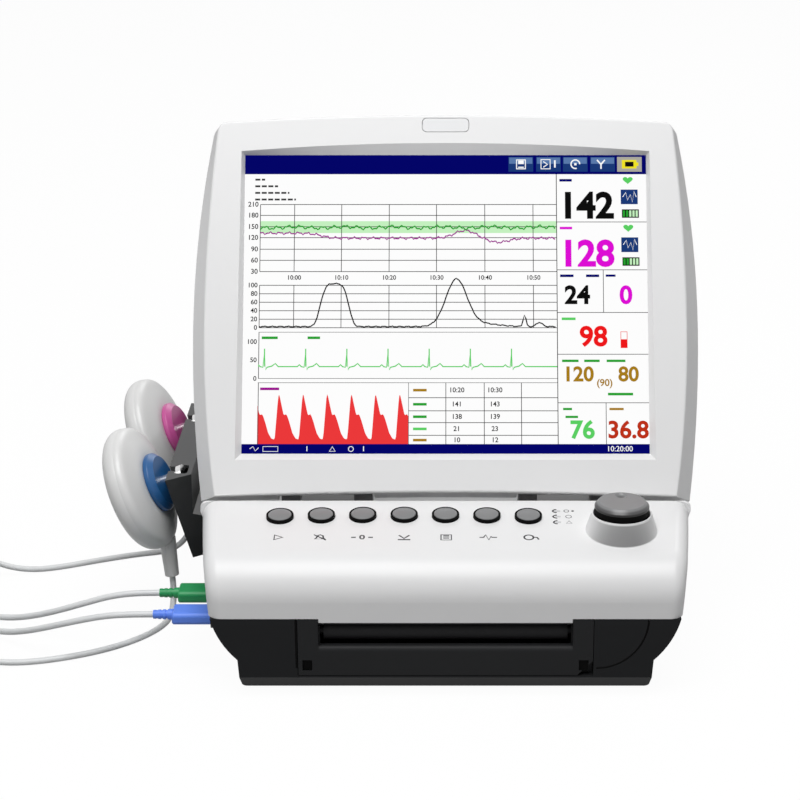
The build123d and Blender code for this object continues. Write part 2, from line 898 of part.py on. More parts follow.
# Screen panel behind the window
lcd_width = screen_width + 2 * lcd_margin
lcd_height = screen_height + 2 * lcd_margin
with BuildPart() as lcd_panel:
    with BuildSketch(display_plane.offset(-screen_inset)):
        Rectangle(lcd_width, lcd_height)
    extrude(amount=-lcd_thickness)
lcd_panel.part.label = "lcd_panel"
export_step(lcd_panel.part, "parts/lcd_panel.step")

# Metal chassis: a tray behind the screen with the two hinge arms
tray_back = screen_inset + lcd_thickness + chassis_thickness
knuckle_width = hinge_width - 2 * hinge_cheek_width - 2 * hinge_side_gap
with BuildPart() as display_chassis:
    with BuildSketch(display_plane.offset(-tray_back)):
        Rectangle(lcd_width + 2 * chassis_thickness, lcd_height + 2 * chassis_thickness)
    extrude(amount=lcd_thickness + chassis_thickness - edge_inset)
    with BuildSketch(display_plane.offset(-screen_inset)):
        Rectangle(lcd_width, lcd_height)
    extrude(amount=-lcd_thickness, mode=Mode.SUBTRACT)
    for side in (-1, 1):
        with BuildSketch(display_plane.offset(-hinge_back - hinge_tongue_thickness / 2)):
            with Locations((side * hinge_centre_x, hinge_rise + hinge_tongue_length / 2)):
                Rectangle(knuckle_width, hinge_tongue_length)
        extrude(amount=hinge_tongue_thickness)
        with BuildSketch(display_plane.offset(-hinge_back)):
            with Locations((side * hinge_centre_x, hinge_rise + hinge_tongue_length * 3 / 4)):
                Rectangle(knuckle_width, hinge_tongue_length / 2)
        extrude(amount=hinge_back - tray_back)
        knuckle_x = side * hinge_centre_x - knuckle_width / 2
        with BuildSketch(Plane.YZ.offset(knuckle_x)):
            with Locations((hinge_y, hinge_height)):
                Circle(hinge_barrel_radius)
        extrude(amount=knuckle_width)
        with BuildSketch(Plane.YZ.offset(knuckle_x)):
            with Locations((hinge_y, hinge_height)):
                Circle(hinge_pin_radius + hinge_fit)
        extrude(amount=knuckle_width, mode=Mode.SUBTRACT)
display_chassis.part.label = "display_chassis"
export_step(display_chassis.part, "parts/display_chassis.step")

# Display electronics
with BuildPart() as display_board:
    with BuildSketch(display_plane.offset(-tray_back - board_stand - board_thickness)):
        with Locations((0, display_board_rise)):
            Rectangle(display_board_width, display_board_height)
    extrude(amount=board_thickness)
    with BuildSketch(display_plane.offset(-tray_back - board_stand)):
        with Locations((0, display_board_rise)):
            with GridLocations(
                display_board_width - chip_size, display_board_height - chip_size, 2, 2
            ):
                Circle(post_radius)
    extrude(amount=board_stand)
    with BuildSketch(display_plane.offset(-tray_back - board_stand - board_thickness)):
        with Locations((0, display_board_rise)):
            with GridLocations(2 * chip_size, 2 * chip_size, 3, 2):
                Rectangle(chip_size, chip_size)
    extrude(amount=-chip_height)
display_board.part.label = "display_board"
export_step(display_board.part, "parts/display_board.step")

# Hinge brackets on the deck, one pair of cheeks a side
with BuildPart() as hinge_brackets:
    for side in (-1, 1):
        with BuildSketch(Plane.XY.offset(deck_height)):
            with Locations((side * hinge_centre_x, hinge_y)):
                Rectangle(hinge_width, hinge_foot_length)
        extrude(amount=hinge_foot_thickness)
        for edge in (-1, 1):
            outer_x = side * hinge_centre_x + edge * hinge_width / 2
            with BuildSketch(Plane.YZ.offset(outer_x)):
                with Locations((hinge_y, hinge_height)):
                    Circle(hinge_barrel_radius)
                with Locations((hinge_y, (deck_height + hinge_height) / 2)):
                    Rectangle(2 * hinge_barrel_radius, hinge_height - deck_height)
                with Locations((hinge_y, hinge_height)):
                    Circle(hinge_pin_radius + hinge_fit, mode=Mode.SUBTRACT)
            extrude(amount=-edge * hinge_cheek_width)
        with BuildSketch(Plane.XY.offset(deck_height)):
            with Locations((side * hinge_centre_x, hinge_y)):
                with GridLocations(hinge_width / 2, hinge_foot_length / 2, 2, 2):
                    Circle(bracket_screw_radius - hinge_side_gap)
        extrude(amount=-shell_wall - hinge_foot_thickness)
hinge_brackets.part.label = "hinge_brackets"
export_step(hinge_brackets.part, "parts/hinge_brackets.step")

with BuildPart() as hinge_pins:
    for side in (-1, 1):
        with BuildSketch(Plane.YZ.offset(side * hinge_centre_x - hinge_width / 2)):
            with Locations((hinge_y, hinge_height)):
                Circle(hinge_pin_radius)
        extrude(amount=hinge_width)
hinge_pins.part.label = "hinge_pins"
export_step(hinge_pins.part, "parts/hinge_pins.step")

# Key gasket: one rubber sheet under the panel with a ring round each key
row_half = key_pitch * (key_count - 1) / 2
row_middle_x = key_pitch * ((key_count - 1) / 2 - key_middle_index)
row_middle_y = key_row_y - key_row_sag
with BuildPart() as key_gasket:
    with BuildSketch(key_plane(row_middle_x, row_middle_y, -shell_wall)):
        Rectangle(
            2 * (row_half + ring_outer_radius + gasket_margin / 2),
            2 * (ring_outer_radius + gasket_margin / 2),
        )
    extrude(amount=-ring_web_thickness)
    for key_x, key_y in key_places:
        with BuildSketch(key_plane(key_x, key_y, ring_rise)):
            Circle(ring_outer_radius - hinge_fit)
        extrude(amount=-shell_wall - ring_rise)
        with BuildSketch(key_plane(key_x, key_y, ring_rise)):
            Circle(key_cap_radius + key_fit)
        extrude(amount=-shell_wall - ring_rise - ring_web_thickness, mode=Mode.SUBTRACT)
key_gasket.part.label = "key_gasket"
export_step(key_gasket.part, "parts/key_gasket.step")

# Keys: domed caps on stems, each with its own travel
dome_radius = (key_cap_radius**2 + key_dome**2) / (2 * key_dome)
for index, (key_x, key_y) in enumerate(key_places):
    base_plane = key_plane(key_x, key_y, -key_stem_length)
    side_plane = Plane(
        origin=base_plane.origin, x_dir=(1, 0, 0), z_dir=Vector(1, 0, 0).cross(panel_normal)
    )
    edge_height = key_stem_length + key_cap_rise - key_dome
    with BuildPart() as key:
        with BuildSketch(side_plane):
            with BuildLine():
                Polyline(
                    (0, 0),
                    (key_skirt_radius, 0),
                    (key_skirt_radius, key_stem_length / 2),
                    (key_cap_radius, key_stem_length / 2),
                    (key_cap_radius, edge_height),
                )
                RadiusArc(
                    (key_cap_radius, edge_height),
                    (0, edge_height + key_dome),
                    -dome_radius,
                )
                Line((0, edge_height + key_dome), (0, 0))
            make_face()
        revolve(axis=Axis(base_plane.origin, panel_normal))
    key.part.label = f"key_{index + 1}"
    export_step(key.part, f"parts/key_{index + 1}.step")

# Key board with a switch under each key, held on pillars of the gasket's frame
board_drop = key_stem_length + key_travel + seam_gap + switch_height
with BuildPart() as key_board:
    with BuildSketch(key_plane(row_middle_x, row_middle_y, -board_drop)):
        Rectangle(
            2 * (row_half + ring_outer_radius + gasket_margin / 2),
            2 * (ring_outer_radius + gasket_margin / 2),
        )
    extrude(amount=-board_thickness)
    for key_x, key_y in key_places:
        with BuildSketch(key_plane(key_x, key_y, -board_drop)):
            Rectangle(switch_size, switch_size)
        extrude(amount=switch_height)
    with BuildSketch(key_plane(row_middle_x, row_middle_y, -board_drop)):
        with GridLocations(2 * (row_half + ring_outer_radius), 2 * ring_outer_radius, 2, 2):
            Circle(overrun)
    extrude(amount=board_drop - shell_wall - ring_web_thickness)
key_board.part.label = "key_board"
export_step(key_board.part, "parts/key_board.step")

# Indicator lamps beside the keys
with BuildPart() as indicator_lenses:
    for step in (-1, 0, 1):
        with BuildSketch(
            key_plane(indicator_x, indicator_middle_y + step * indicator_pitch, indicator_proud)
        ):
            SlotOverall(indicator_length - 2 * hinge_fit, indicator_width - 2 * hinge_fit)
        extrude(amount=-shell_wall - indicator_proud)
indicator_lenses.part.label = "indicator_lenses"
export_step(indicator_lenses.part, "parts/indicator_lenses.step")

# Encoder under the knob: a fixed body, and a shaft that can be pushed down
well_floor = boss_rim_height - boss_well_depth
bushing_top = well_floor + knob_clear - knob_push - seam_gap
encoder_top = panel_point(knob_x, knob_y - encoder_size / 2).Z - shell_wall / math.cos(slope) - seam_gap
with BuildPart() as encoder_body:
    with BuildSketch(Plane.XY.offset(encoder_top - encoder_height)):
        with Locations((knob_x, knob_y)):
            Rectangle(encoder_size, encoder_size)
    extrude(amount=encoder_height)
    with BuildSketch(Plane.XY.offset(encoder_top)):
        with Locations((knob_x, knob_y)):
            Circle(bushing_radius)
    extrude(amount=bushing_top - encoder_top)
    with BuildSketch(Plane.XY.offset(encoder_top - encoder_height + board_thickness)):
        with Locations((knob_x, knob_y)):
            Circle(shaft_radius + shaft_fit)
    extrude(amount=shoulder_height, mode=Mode.SUBTRACT)
encoder_body.part.label = "encoder_body"
export_step(encoder_body.part, "parts/encoder_body.step")

knob_bottom = well_floor + knob_clear
shaft_bottom = encoder_top - encoder_height + board_thickness + knob_push + seam_gap
with BuildPart() as encoder_shaft:
    with BuildSketch(Plane.XY.offset(shaft_bottom)):
        with Locations((knob_x, knob_y)):
            Circle(shaft_radius)
    extrude(amount=knob_bottom + knob_bore_depth - seam_gap - shaft_bottom)
encoder_shaft.part.label = "encoder_shaft"
export_step(encoder_shaft.part, "parts/encoder_shaft.step")

# Control knob and its black skirt
skirt_top = boss_rim_height + knob_skirt_rise
with BuildPart() as knob_skirt:
    with BuildSketch(Plane.XY.offset(knob_bottom)):
        with Locations((knob_x, knob_y)):
            Circle(knob_radius)
            Circle(shaft_radius + shaft_fit, mode=Mode.SUBTRACT)
    extrude(amount=skirt_top - knob_bottom)
knob_skirt.part.label = "knob_skirt"
export_step(knob_skirt.part, "parts/knob_skirt.step")

with BuildPart() as control_knob:
    with BuildSketch(Plane.XY.offset(skirt_top)):
        with Locations((knob_x, knob_y)):
            Circle(knob_radius)
    extrude(amount=knob_top_height - knob_shoulder - skirt_top)
    with BuildSketch(Plane.XY.offset(knob_top_height - knob_shoulder)):
        with Locations((knob_x, knob_y)):
            Circle(knob_radius)
    with BuildSketch(Plane.XY.offset(knob_top_height)):
        with Locations((knob_x, knob_y)):
            Circle(knob_top_radius)
    loft()
    shoulder_edges = control_knob.edges().filter_by(GeomType.CIRCLE).sort_by(Axis.Z)[1:]
    fillet(shoulder_edges, radius=knob_edge_radius)
    with BuildSketch(Plane.XY.offset(skirt_top)):
        with Locations((knob_x, knob_y)):
            Circle(shaft_radius + shaft_fit)
    extrude(amount=knob_bottom + knob_bore_depth - skirt_top, mode=Mode.SUBTRACT)
    dimple_ball = (knob_dimple_radius**2 + knob_dimple_depth**2) / (2 * knob_dimple_depth)
    with Locations(
        (knob_x, knob_y + knob_dimple_offset, knob_top_height - knob_dimple_depth + dimple_ball)
    ):
        Sphere(dimple_ball, mode=Mode.SUBTRACT)
control_knob.part.label = "control_knob"
export_step(control_knob.part, "parts/control_knob.step")
# Platen roller with its gear, held in the drawer's cheeks
cheek_x = roller_half_length + drawer_wall
with BuildPart() as platen_roller:
    with BuildSketch(Plane.YZ.offset(-roller_half_length)):
        with Locations((roller_y, roller_height)):
            Circle(roller_radius)
    extrude(amount=2 * roller_half_length)
    with BuildSketch(Plane.YZ.offset(-roller_half_length - roller_shaft_extra)):
        with Locations((roller_y, roller_height)):
            Circle(roller_shaft_radius)
    extrude(amount=2 * (roller_half_length + roller_shaft_extra))
platen_roller.part.label = "platen_roller"
export_step(platen_roller.part, "parts/platen_roller.step")


gear_root_share = 1.25
gear_tip_share = 0.7
gear_root_width_share = 0.5
gear_tip_width_share = 0.2


def gear_outline(teeth, phase):
    """A simple straight-sided gear of the printer's module, turned by phase degrees."""
    pitch_radius = gear_module * teeth / 2
    root = pitch_radius - gear_root_share * gear_module
    tip = pitch_radius + gear_tip_share * gear_module
    points = []
    for tooth in range(teeth):
        middle = math.radians(phase + tooth * 360 / teeth)
        half_root = gear_root_width_share * math.pi / teeth
        half_tip = gear_tip_width_share * math.pi / teeth
        for radius, angle in (
            (root, middle - half_root),
            (tip, middle - half_tip),
            (tip, middle + half_tip),
            (root, middle + half_root),
        ):
            points.append((radius * math.cos(angle), radius * math.sin(angle)))
    with BuildSketch() as outline:
        Polygon(*points, align=None)
    return outline.sketch


pinion_y = roller_y + 2 * gear_pitch_radius + gear_slack
with BuildPart() as platen_gear:
    with BuildSketch(Plane.YZ.offset(gear_x)):
        with Locations((roller_y, roller_height)):
            add(gear_outline(gear_teeth, 0))
            Circle(roller_shaft_radius, mode=Mode.SUBTRACT)
    extrude(amount=gear_width)
platen_gear.part.label = "platen_gear"
export_step(platen_gear.part, "parts/platen_gear.step")

# Paper motor outside the drawer's bay, with its pinion inside
bay_wall_outer = bay_half + drawer_wall
with BuildPart() as paper_motor:
    with BuildSketch(Plane.YZ.offset(bay_wall_outer)):
        with Locations((pinion_y, roller_height)):
            Circle(motor_radius)
            Circle(motor_shaft_radius, mode=Mode.SUBTRACT)
    extrude(amount=motor_length)
paper_motor.part.label = "paper_motor"
export_step(paper_motor.part, "parts/paper_motor.step")

with BuildPart() as motor_pinion:
    with BuildSketch(Plane.YZ.offset(gear_x)):
        with Locations((pinion_y, roller_height)):
            add(gear_outline(pinion_teeth, 180 / pinion_teeth))
    extrude(amount=gear_width)
    with BuildSketch(Plane.YZ.offset(gear_x)):
        with Locations((pinion_y, roller_height)):
            Circle(motor_shaft_radius - shaft_fit)
    extrude(amount=bay_wall_outer + motor_length / 2 - gear_x)
motor_pinion.part.label = "motor_pinion"
export_step(motor_pinion.part, "parts/motor_pinion.step")

# Thermal print head across the top of the bay
with BuildPart() as print_head:
    with BuildSketch(Plane.XY.offset(bay_wall_top)):
        with Locations((0, body_front + 2 * shell_wall + head_gap + head_depth / 2)):
            Rectangle(2 * bay_wall_outer, head_depth)
    extrude(amount=head_height)
print_head.part.label = "print_head"
export_step(print_head.part, "parts/print_head.step")

# Paper drawer: front plate, then the tray with the roller's cheeks
with BuildPart() as drawer_front:
    with BuildSketch(Plane.XZ.offset(-body_front)):
        with BuildLine():
            Polyline(
                (-drawer_half_width, drawer_low_height),
                (drawer_half_width - drawer_lower_corner, drawer_low_height),
                (drawer_half_width, drawer_low_height + drawer_lower_corner),
                (drawer_half_width, drawer_top_height),
                (slot_half_width, drawer_top_height),
                (slot_half_width, drawer_notch_height),
                (-slot_half_width, drawer_notch_height),
                (-slot_half_width, drawer_top_height),
                (-drawer_half_width, drawer_top_height),
                close=True,
            )
        make_face()
        with Locations(*[(side * latch_x, latch_height) for side in (-1, 1)]):
            Rectangle(latch_width + 2 * latch_fit, latch_size + 2 * latch_fit, mode=Mode.SUBTRACT)
    extrude(amount=-drawer_front_thickness)
    notch_edge = (
        drawer_front.edges()
        .filter_by(Axis.X)
        .filter_by_position(Axis.Z, drawer_notch_height - seam_gap, drawer_notch_height + seam_gap)
        .sort_by(Axis.Y)[0]
    )
    fillet(notch_edge, radius=drawer_front_radius)
drawer_front.part.label = "drawer_front"
export_step(drawer_front.part, "parts/drawer_front.step")

drawer_back_y = body_front + drawer_length
plate_back_y = body_front + drawer_front_thickness
tray_middle_y = (plate_back_y + drawer_back_y) / 2
with BuildPart() as paper_drawer:
    with BuildSketch(Plane.XY.offset(drawer_low_height)):
        with Locations((0, tray_middle_y)):
            Rectangle(2 * drawer_half_width, drawer_back_y - plate_back_y)
    extrude(amount=drawer_tray_height)
    with BuildSketch(Plane.XY.offset(drawer_low_height + drawer_wall)):
        with Locations((0, tray_middle_y)):
            Rectangle(
                2 * (drawer_half_width - drawer_wall),
                drawer_back_y - plate_back_y - 2 * drawer_wall,
            )
    extrude(amount=drawer_tray_height, mode=Mode.SUBTRACT)
    for side in (-1, 1):
        with BuildSketch(Plane.XY.offset(drawer_low_height)):
            with Locations((side * (cheek_x + drawer_wall / 2), plate_back_y + cheek_depth / 2)):
                Rectangle(drawer_wall, cheek_depth)
        extrude(amount=bay_wall_top - drawer_gap - drawer_low_height)
        with BuildSketch(Plane.YZ.offset(side * (cheek_x - drawer_wall))):
            with Locations((roller_y, roller_height)):
                Circle(roller_shaft_radius + shaft_fit)
        extrude(amount=side * 4 * drawer_wall, mode=Mode.SUBTRACT)
        with BuildSketch(Plane.XZ.offset(-plate_back_y - drawer_wall)):
            with Locations((side * latch_x, latch_height)):
                Rectangle(latch_width + 2 * latch_fit, latch_size + 2 * latch_fit)
        extrude(amount=2 * drawer_wall, mode=Mode.SUBTRACT)
paper_drawer.part.label = "paper_drawer"
export_step(paper_drawer.part, "parts/paper_drawer.step")

for side, name in ((-1, "drawer_latch_left"), (1, "drawer_latch_right")):
    with BuildPart() as latch:
        with BuildSketch(Plane.XZ.offset(-body_front - latch_recess)):
            with Locations((side * latch_x, latch_height)):
                Rectangle(latch_width, latch_size)
        extrude(amount=-latch_length)
    latch.part.label = name
    export_step(latch.part, f"parts/{name}.step")

# Folded paper in the drawer
with BuildPart() as paper_pack:
    with BuildSketch(Plane.XY.offset(drawer_low_height + drawer_wall)):
        with Locations((0, drawer_back_y - drawer_wall - seam_gap - paper_length / 2)):
            Rectangle(paper_width, paper_length)
    extrude(amount=paper_thickness)
paper_pack.part.label = "paper_pack"
export_step(paper_pack.part, "parts/paper_pack.step")

# Boards and units in the base
with BuildPart() as main_board:
    with BuildSketch(Plane.XY.offset(main_board_height)):
        with Locations((0, main_board_y)):
            Rectangle(main_board_width, main_board_depth)
    extrude(amount=board_thickness)
    with BuildSketch(Plane.XY.offset(floor_thickness)):
        with Locations((0, main_board_y)):
            with GridLocations(
                main_board_width - chip_size, main_board_depth - chip_size, 2, 2
            ):
                Circle(post_radius)
    extrude(amount=main_board_height - floor_thickness)
main_board.part.label = "main_board"
export_step(main_board.part, "parts/main_board.step")

board_top = main_board_height + board_thickness
with BuildPart() as power_supply:
    with BuildSketch(Plane.XY.offset(board_top)):
        with Locations((supply_x, supply_y)):
            Rectangle(supply_width, supply_depth)
    extrude(amount=supply_height)
power_supply.part.label = "power_supply"
export_step(power_supply.part, "parts/power_supply.step")

with BuildPart() as battery_pack:
    with BuildSketch(Plane.XY.offset(board_top)):
        with Locations((battery_x, battery_y)):
            RectangleRounded(battery_width, battery_depth, post_radius)
    extrude(amount=battery_height)
battery_pack.part.label = "battery_pack"
export_step(battery_pack.part, "parts/battery_pack.step")

with BuildPart() as speaker:
    with BuildSketch(Plane.YZ.offset(speaker_x)):
        with Locations((speaker_y, speaker_height)):
            Circle(speaker_radius)
    extrude(amount=-speaker_rim)
    with BuildSketch(Plane.YZ.offset(speaker_x - speaker_rim)):
        with Locations((speaker_y, speaker_height)):
            Circle(speaker_radius)
    with BuildSketch(Plane.YZ.offset(speaker_x - speaker_thickness)):
        with Locations((speaker_y, speaker_height)):
            Circle(speaker_radius / 2)
    loft()
    with BuildSketch(Plane.XY.offset(floor_thickness)):
        with Locations((speaker_x - speaker_rim / 2, speaker_y)):
            Rectangle(speaker_rim, speaker_radius)
    extrude(amount=speaker_height - speaker_radius)
speaker.part.label = "speaker"
export_step(speaker.part, "parts/speaker.step")

# Power inlet in the rear wall, with its three pins
with BuildPart() as power_inlet:
    with BuildSketch(Plane.XZ.offset(-body_back)):
        with Locations((inlet_x, inlet_height)):
            RectangleRounded(inlet_width, inlet_size, post_radius)
    extrude(amount=inlet_depth)
    with BuildSketch(Plane.XZ.offset(-body_back)):
        with Locations((inlet_x, inlet_height)):
            RectangleRounded(inlet_width - 2 * shell_wall, inlet_size - 2 * shell_wall, post_radius / 2)
    extrude(amount=inlet_depth - shell_wall, mode=Mode.SUBTRACT)
    with BuildSketch(Plane.XZ.offset(-body_back + inlet_depth)):
        with Locations((inlet_x, inlet_height)):
            with Locations((-inlet_pin_pitch, 0), (0, inlet_pin_rise), (inlet_pin_pitch, 0)):
                Rectangle(inlet_pin_width, inlet_pin_width * 2)
    extrude(amount=-inlet_depth + inlet_pin_rise)
power_inlet.part.label = "power_inlet"
export_step(power_inlet.part, "parts/power_inlet.step")

# Screws: four from below into the housing
with BuildPart() as housing_screws:
    with BuildSketch(Plane.XY.offset(screw_seat)):
        with Locations(*screw_places):
            Circle(screw_head_radius)
    extrude(amount=screw_head_height)
    with BuildSketch(Plane.XY.offset(screw_seat + screw_head_height)):
        with Locations(*screw_places):
            Circle(screw_radius)
    extrude(amount=screw_length)
housing_screws.part.label = "housing_screws"
export_step(housing_screws.part, "parts/housing_screws.step")

# Rubber feet
with BuildPart() as rubber_feet:
    with BuildSketch(Plane.XY.offset(-foot_height)):
        with Locations(*[(side * foot_x, y) for side in (-1, 1) for y in (foot_front_y, foot_rear_y)]):
            Circle(foot_radius)
    extrude(amount=foot_height + foot_embed)
rubber_feet.part.label = "rubber_feet"
export_step(rubber_feet.part, "parts/rubber_feet.step")

# Input sockets in the left side
with BuildPart() as input_sockets:
    for y in (socket_front_y, socket_rear_y):
        with BuildSketch(Plane.YZ.offset(socket_face_x)):
            with Locations((y, socket_height)):
                RectangleRounded(socket_depth, socket_thickness, plug_radius)
        extrude(amount=socket_flange)
        with BuildSketch(Plane.YZ.offset(socket_face_x)):
            with Locations((y, socket_height)):
                Rectangle(plug_pin_depth + 2 * plug_pin_fit, plug_pin_thickness + 2 * plug_pin_fit)
        extrude(amount=plug_pin_length + plug_pin_fit, mode=Mode.SUBTRACT)
input_sockets.part.label = "input_sockets"
export_step(input_sockets.part, "parts/input_sockets.step")

# Plugs with ribbed strain reliefs
plug_inner_x = socket_face_x - seam_gap
plug_outer_x = plug_inner_x - plug_body_length
relief_end_x = plug_outer_x - relief_length
for name, y in (("blue_plug", socket_front_y), ("green_plug", socket_rear_y)):
    with BuildPart() as plug:
        with BuildSketch(Plane.YZ.offset(plug_inner_x)):
            with Locations((y, socket_height)):
                RectangleRounded(plug_depth, plug_thickness, plug_radius)
        extrude(amount=-plug_body_length)
        fillet(plug.faces().sort_by(Axis.X)[0].edges(), radius=plug_radius / 2)
        with BuildSketch(Plane.YZ.offset(plug_inner_x)):
            with Locations((y, socket_height)):
                Rectangle(plug_pin_depth, plug_pin_thickness)
        extrude(amount=plug_pin_length)
        with BuildSketch(Plane.YZ.offset(plug_outer_x)):
            with Locations((y, socket_height)):
                Circle(relief_radius)
        with BuildSketch(Plane.YZ.offset(relief_end_x)):
            with Locations((y, socket_height)):
                Circle(relief_end_radius)
        loft()
        for rib in range(relief_rib_count):
            rib_x = plug_outer_x - relief_length * (rib + 1) / (relief_rib_count + 1)
            with BuildSketch(Plane.YZ.offset(rib_x)):
                with Locations((y, socket_height)):
                    Circle(relief_radius + overrun)
                    Circle(relief_radius - relief_rib_depth, mode=Mode.SUBTRACT)
            extrude(amount=-relief_rib_gap, mode=Mode.SUBTRACT)
    plug.part.label = name
    export_step(plug.part, f"parts/{name}.step")

# Transducer rack on the left side
rack_inner_x = -max(outer_half_wide + rack_display_gap, body_half(deck_height) + rack_gap)
rack_profile = [
    (rack_outer_x, rack_top_height),
    (rack_inner_x, rack_top_height),
    (rack_inner_x, rack_neck_height),
    (-body_half(rack_joint_height) - rack_gap, rack_joint_height),
    (-body_half(parting_height) - rack_gap, parting_height),
    (-body_half(parting_height) - rack_gap, rack_bottom_height),
    (rack_low_outer_x, rack_bottom_height),
]
with BuildPart() as transducer_rack:
    with BuildSketch(Plane.XZ.offset(-rack_front_y)):
        Polygon(*rack_profile, align=None)
    extrude(amount=rack_front_y - rack_rear_y)
    with BuildSketch(Plane.XY.offset(rack_bottom_height - overrun)):
        Polygon(
            (rack_outer_x - overrun, rack_front_y),
            (rack_outer_x - overrun, rack_front_y - overrun),
            (-parting_half_width, rack_front_y - overrun),
            (-parting_half_width, rack_front_y + 2 * rack_front_slant),
            align=None,
        )
    extrude(amount=rack_top_height, mode=Mode.SUBTRACT)
    open_face = transducer_rack.faces().sort_by(Axis.Z)[0]
    offset(amount=-rack_wall, openings=open_face)
    for y in (front_transducer_y, rear_transducer_y):
        slot_y = y + transducer_axis_y * neck_length / 2
        with BuildSketch(Plane.XY.offset(rack_top_height - rack_slot_depth)):
            with Locations((rack_outer_x, slot_y)):
                Rectangle(2 * rack_hole_inset, rack_slot_width)
        extrude(amount=rack_slot_depth + overrun, mode=Mode.SUBTRACT)
        hole_y = y + transducer_axis_y * neck_length
        with BuildSketch(Plane.XY.offset(rack_top_height - 2 * rack_wall)):
            with Locations((rack_hole_x, hole_y)):
                RectangleRounded(rack_hole_width, rack_hole_length, rack_wall)
        extrude(amount=3 * rack_wall, mode=Mode.SUBTRACT)
transducer_rack.part.label = "transducer_rack"
export_step(transducer_rack.part, "parts/transducer_rack.step")

# Transducers: two discs that hang by the buttons on their caps
transducer_axis = Vector(transducer_axis_x, transducer_axis_y, transducer_axis_z).normalized()
disc_down = (Vector(0, 0, -1) + transducer_axis * transducer_axis.Z).normalized()
boot_ends = {}
for name, cap_y in (("front_transducer", front_transducer_y), ("rear_transducer", rear_transducer_y)):
    cap_face = Vector(transducer_cap_x, cap_y, transducer_cap_height)
    cap_base = cap_face - transducer_axis * cap_thickness
    turning_plane = Plane(origin=cap_base, x_dir=disc_down, z_dir=disc_down.cross(transducer_axis))
    turning_axis = Axis(cap_base, transducer_axis)
    with BuildPart() as body:
        with BuildSketch(turning_plane):
            with BuildLine():
                Line((0, 0), (cap_radius, 0))
                Spline(
                    (cap_radius, 0),
                    (transducer_radius - rim_round, -rim_round / 2),
                    (transducer_radius, -rim_round - rim_round / 2),
                    tangents=((1, 0), (0, -1)),
                )
                ThreePointArc(
                    (transducer_radius, -rim_round - rim_round / 2),
                    (transducer_radius - rim_round / 3, -disc_thickness + rim_round / 3),
                    (transducer_radius - rim_round, -disc_thickness),
                )
                Line((transducer_radius - rim_round, -disc_thickness), (0, -disc_thickness))
                Line((0, -disc_thickness), (0, 0))
            make_face()
        revolve(axis=turning_axis)
    body.part.label = f"{name}_body"
    export_step(body.part, f"parts/{name}_body.step")

    with BuildPart() as cap:
        with BuildSketch(turning_plane):
            with BuildLine():
                Polyline(
                    (0, 0),
                    (cap_radius, 0),
                    (cap_radius, cap_thickness / 2),
                    (cap_radius - cap_thickness / 2, cap_thickness),
                    (0, cap_thickness),
                    (0, 0),
                )
            make_face()
        revolve(axis=turning_axis)
        fillet(cap.edges().filter_by(GeomType.CIRCLE).sort_by(SortBy.LENGTH)[1:], radius=rim_round / 6)
    cap.part.label = f"{name}_cap"
    export_step(cap.part, f"parts/{name}_cap.step")

    with BuildPart() as button:
        with BuildSketch(turning_plane):
            with BuildLine():
                Polyline(
                    (0, cap_thickness),
                    (neck_radius, cap_thickness),
                    (neck_radius, cap_thickness + neck_length - button_thickness),
                    (button_radius, cap_thickness + neck_length - button_thickness),
                    (button_radius, cap_thickness + neck_length),
                    (0, cap_thickness + neck_length),
                    close=True,
                )
            make_face()
        revolve(axis=turning_axis)
    button.part.label = f"{name}_button"
    export_step(button.part, f"parts/{name}_button.step")

    boot_top = cap_base - transducer_axis * (1.5 * rim_round) + disc_down * (transducer_radius - boot_embed)
    boot_end = boot_top + Vector(boot_lean_x, 0, -boot_length)
    boot_dir = (boot_end - boot_top).normalized()
    with BuildPart() as boot:
        with BuildSketch(Plane(origin=boot_top, z_dir=boot_dir)):
            Circle(boot_radius)
        with BuildSketch(Plane(origin=boot_end, z_dir=boot_dir)):
            Circle(boot_end_radius)
        loft()
        add(body.part, mode=Mode.SUBTRACT)
    boot.part.label = f"{name}_boot"
    export_step(boot.part, f"parts/{name}_boot.step")
    boot_ends[name] = (boot_end, boot_dir)

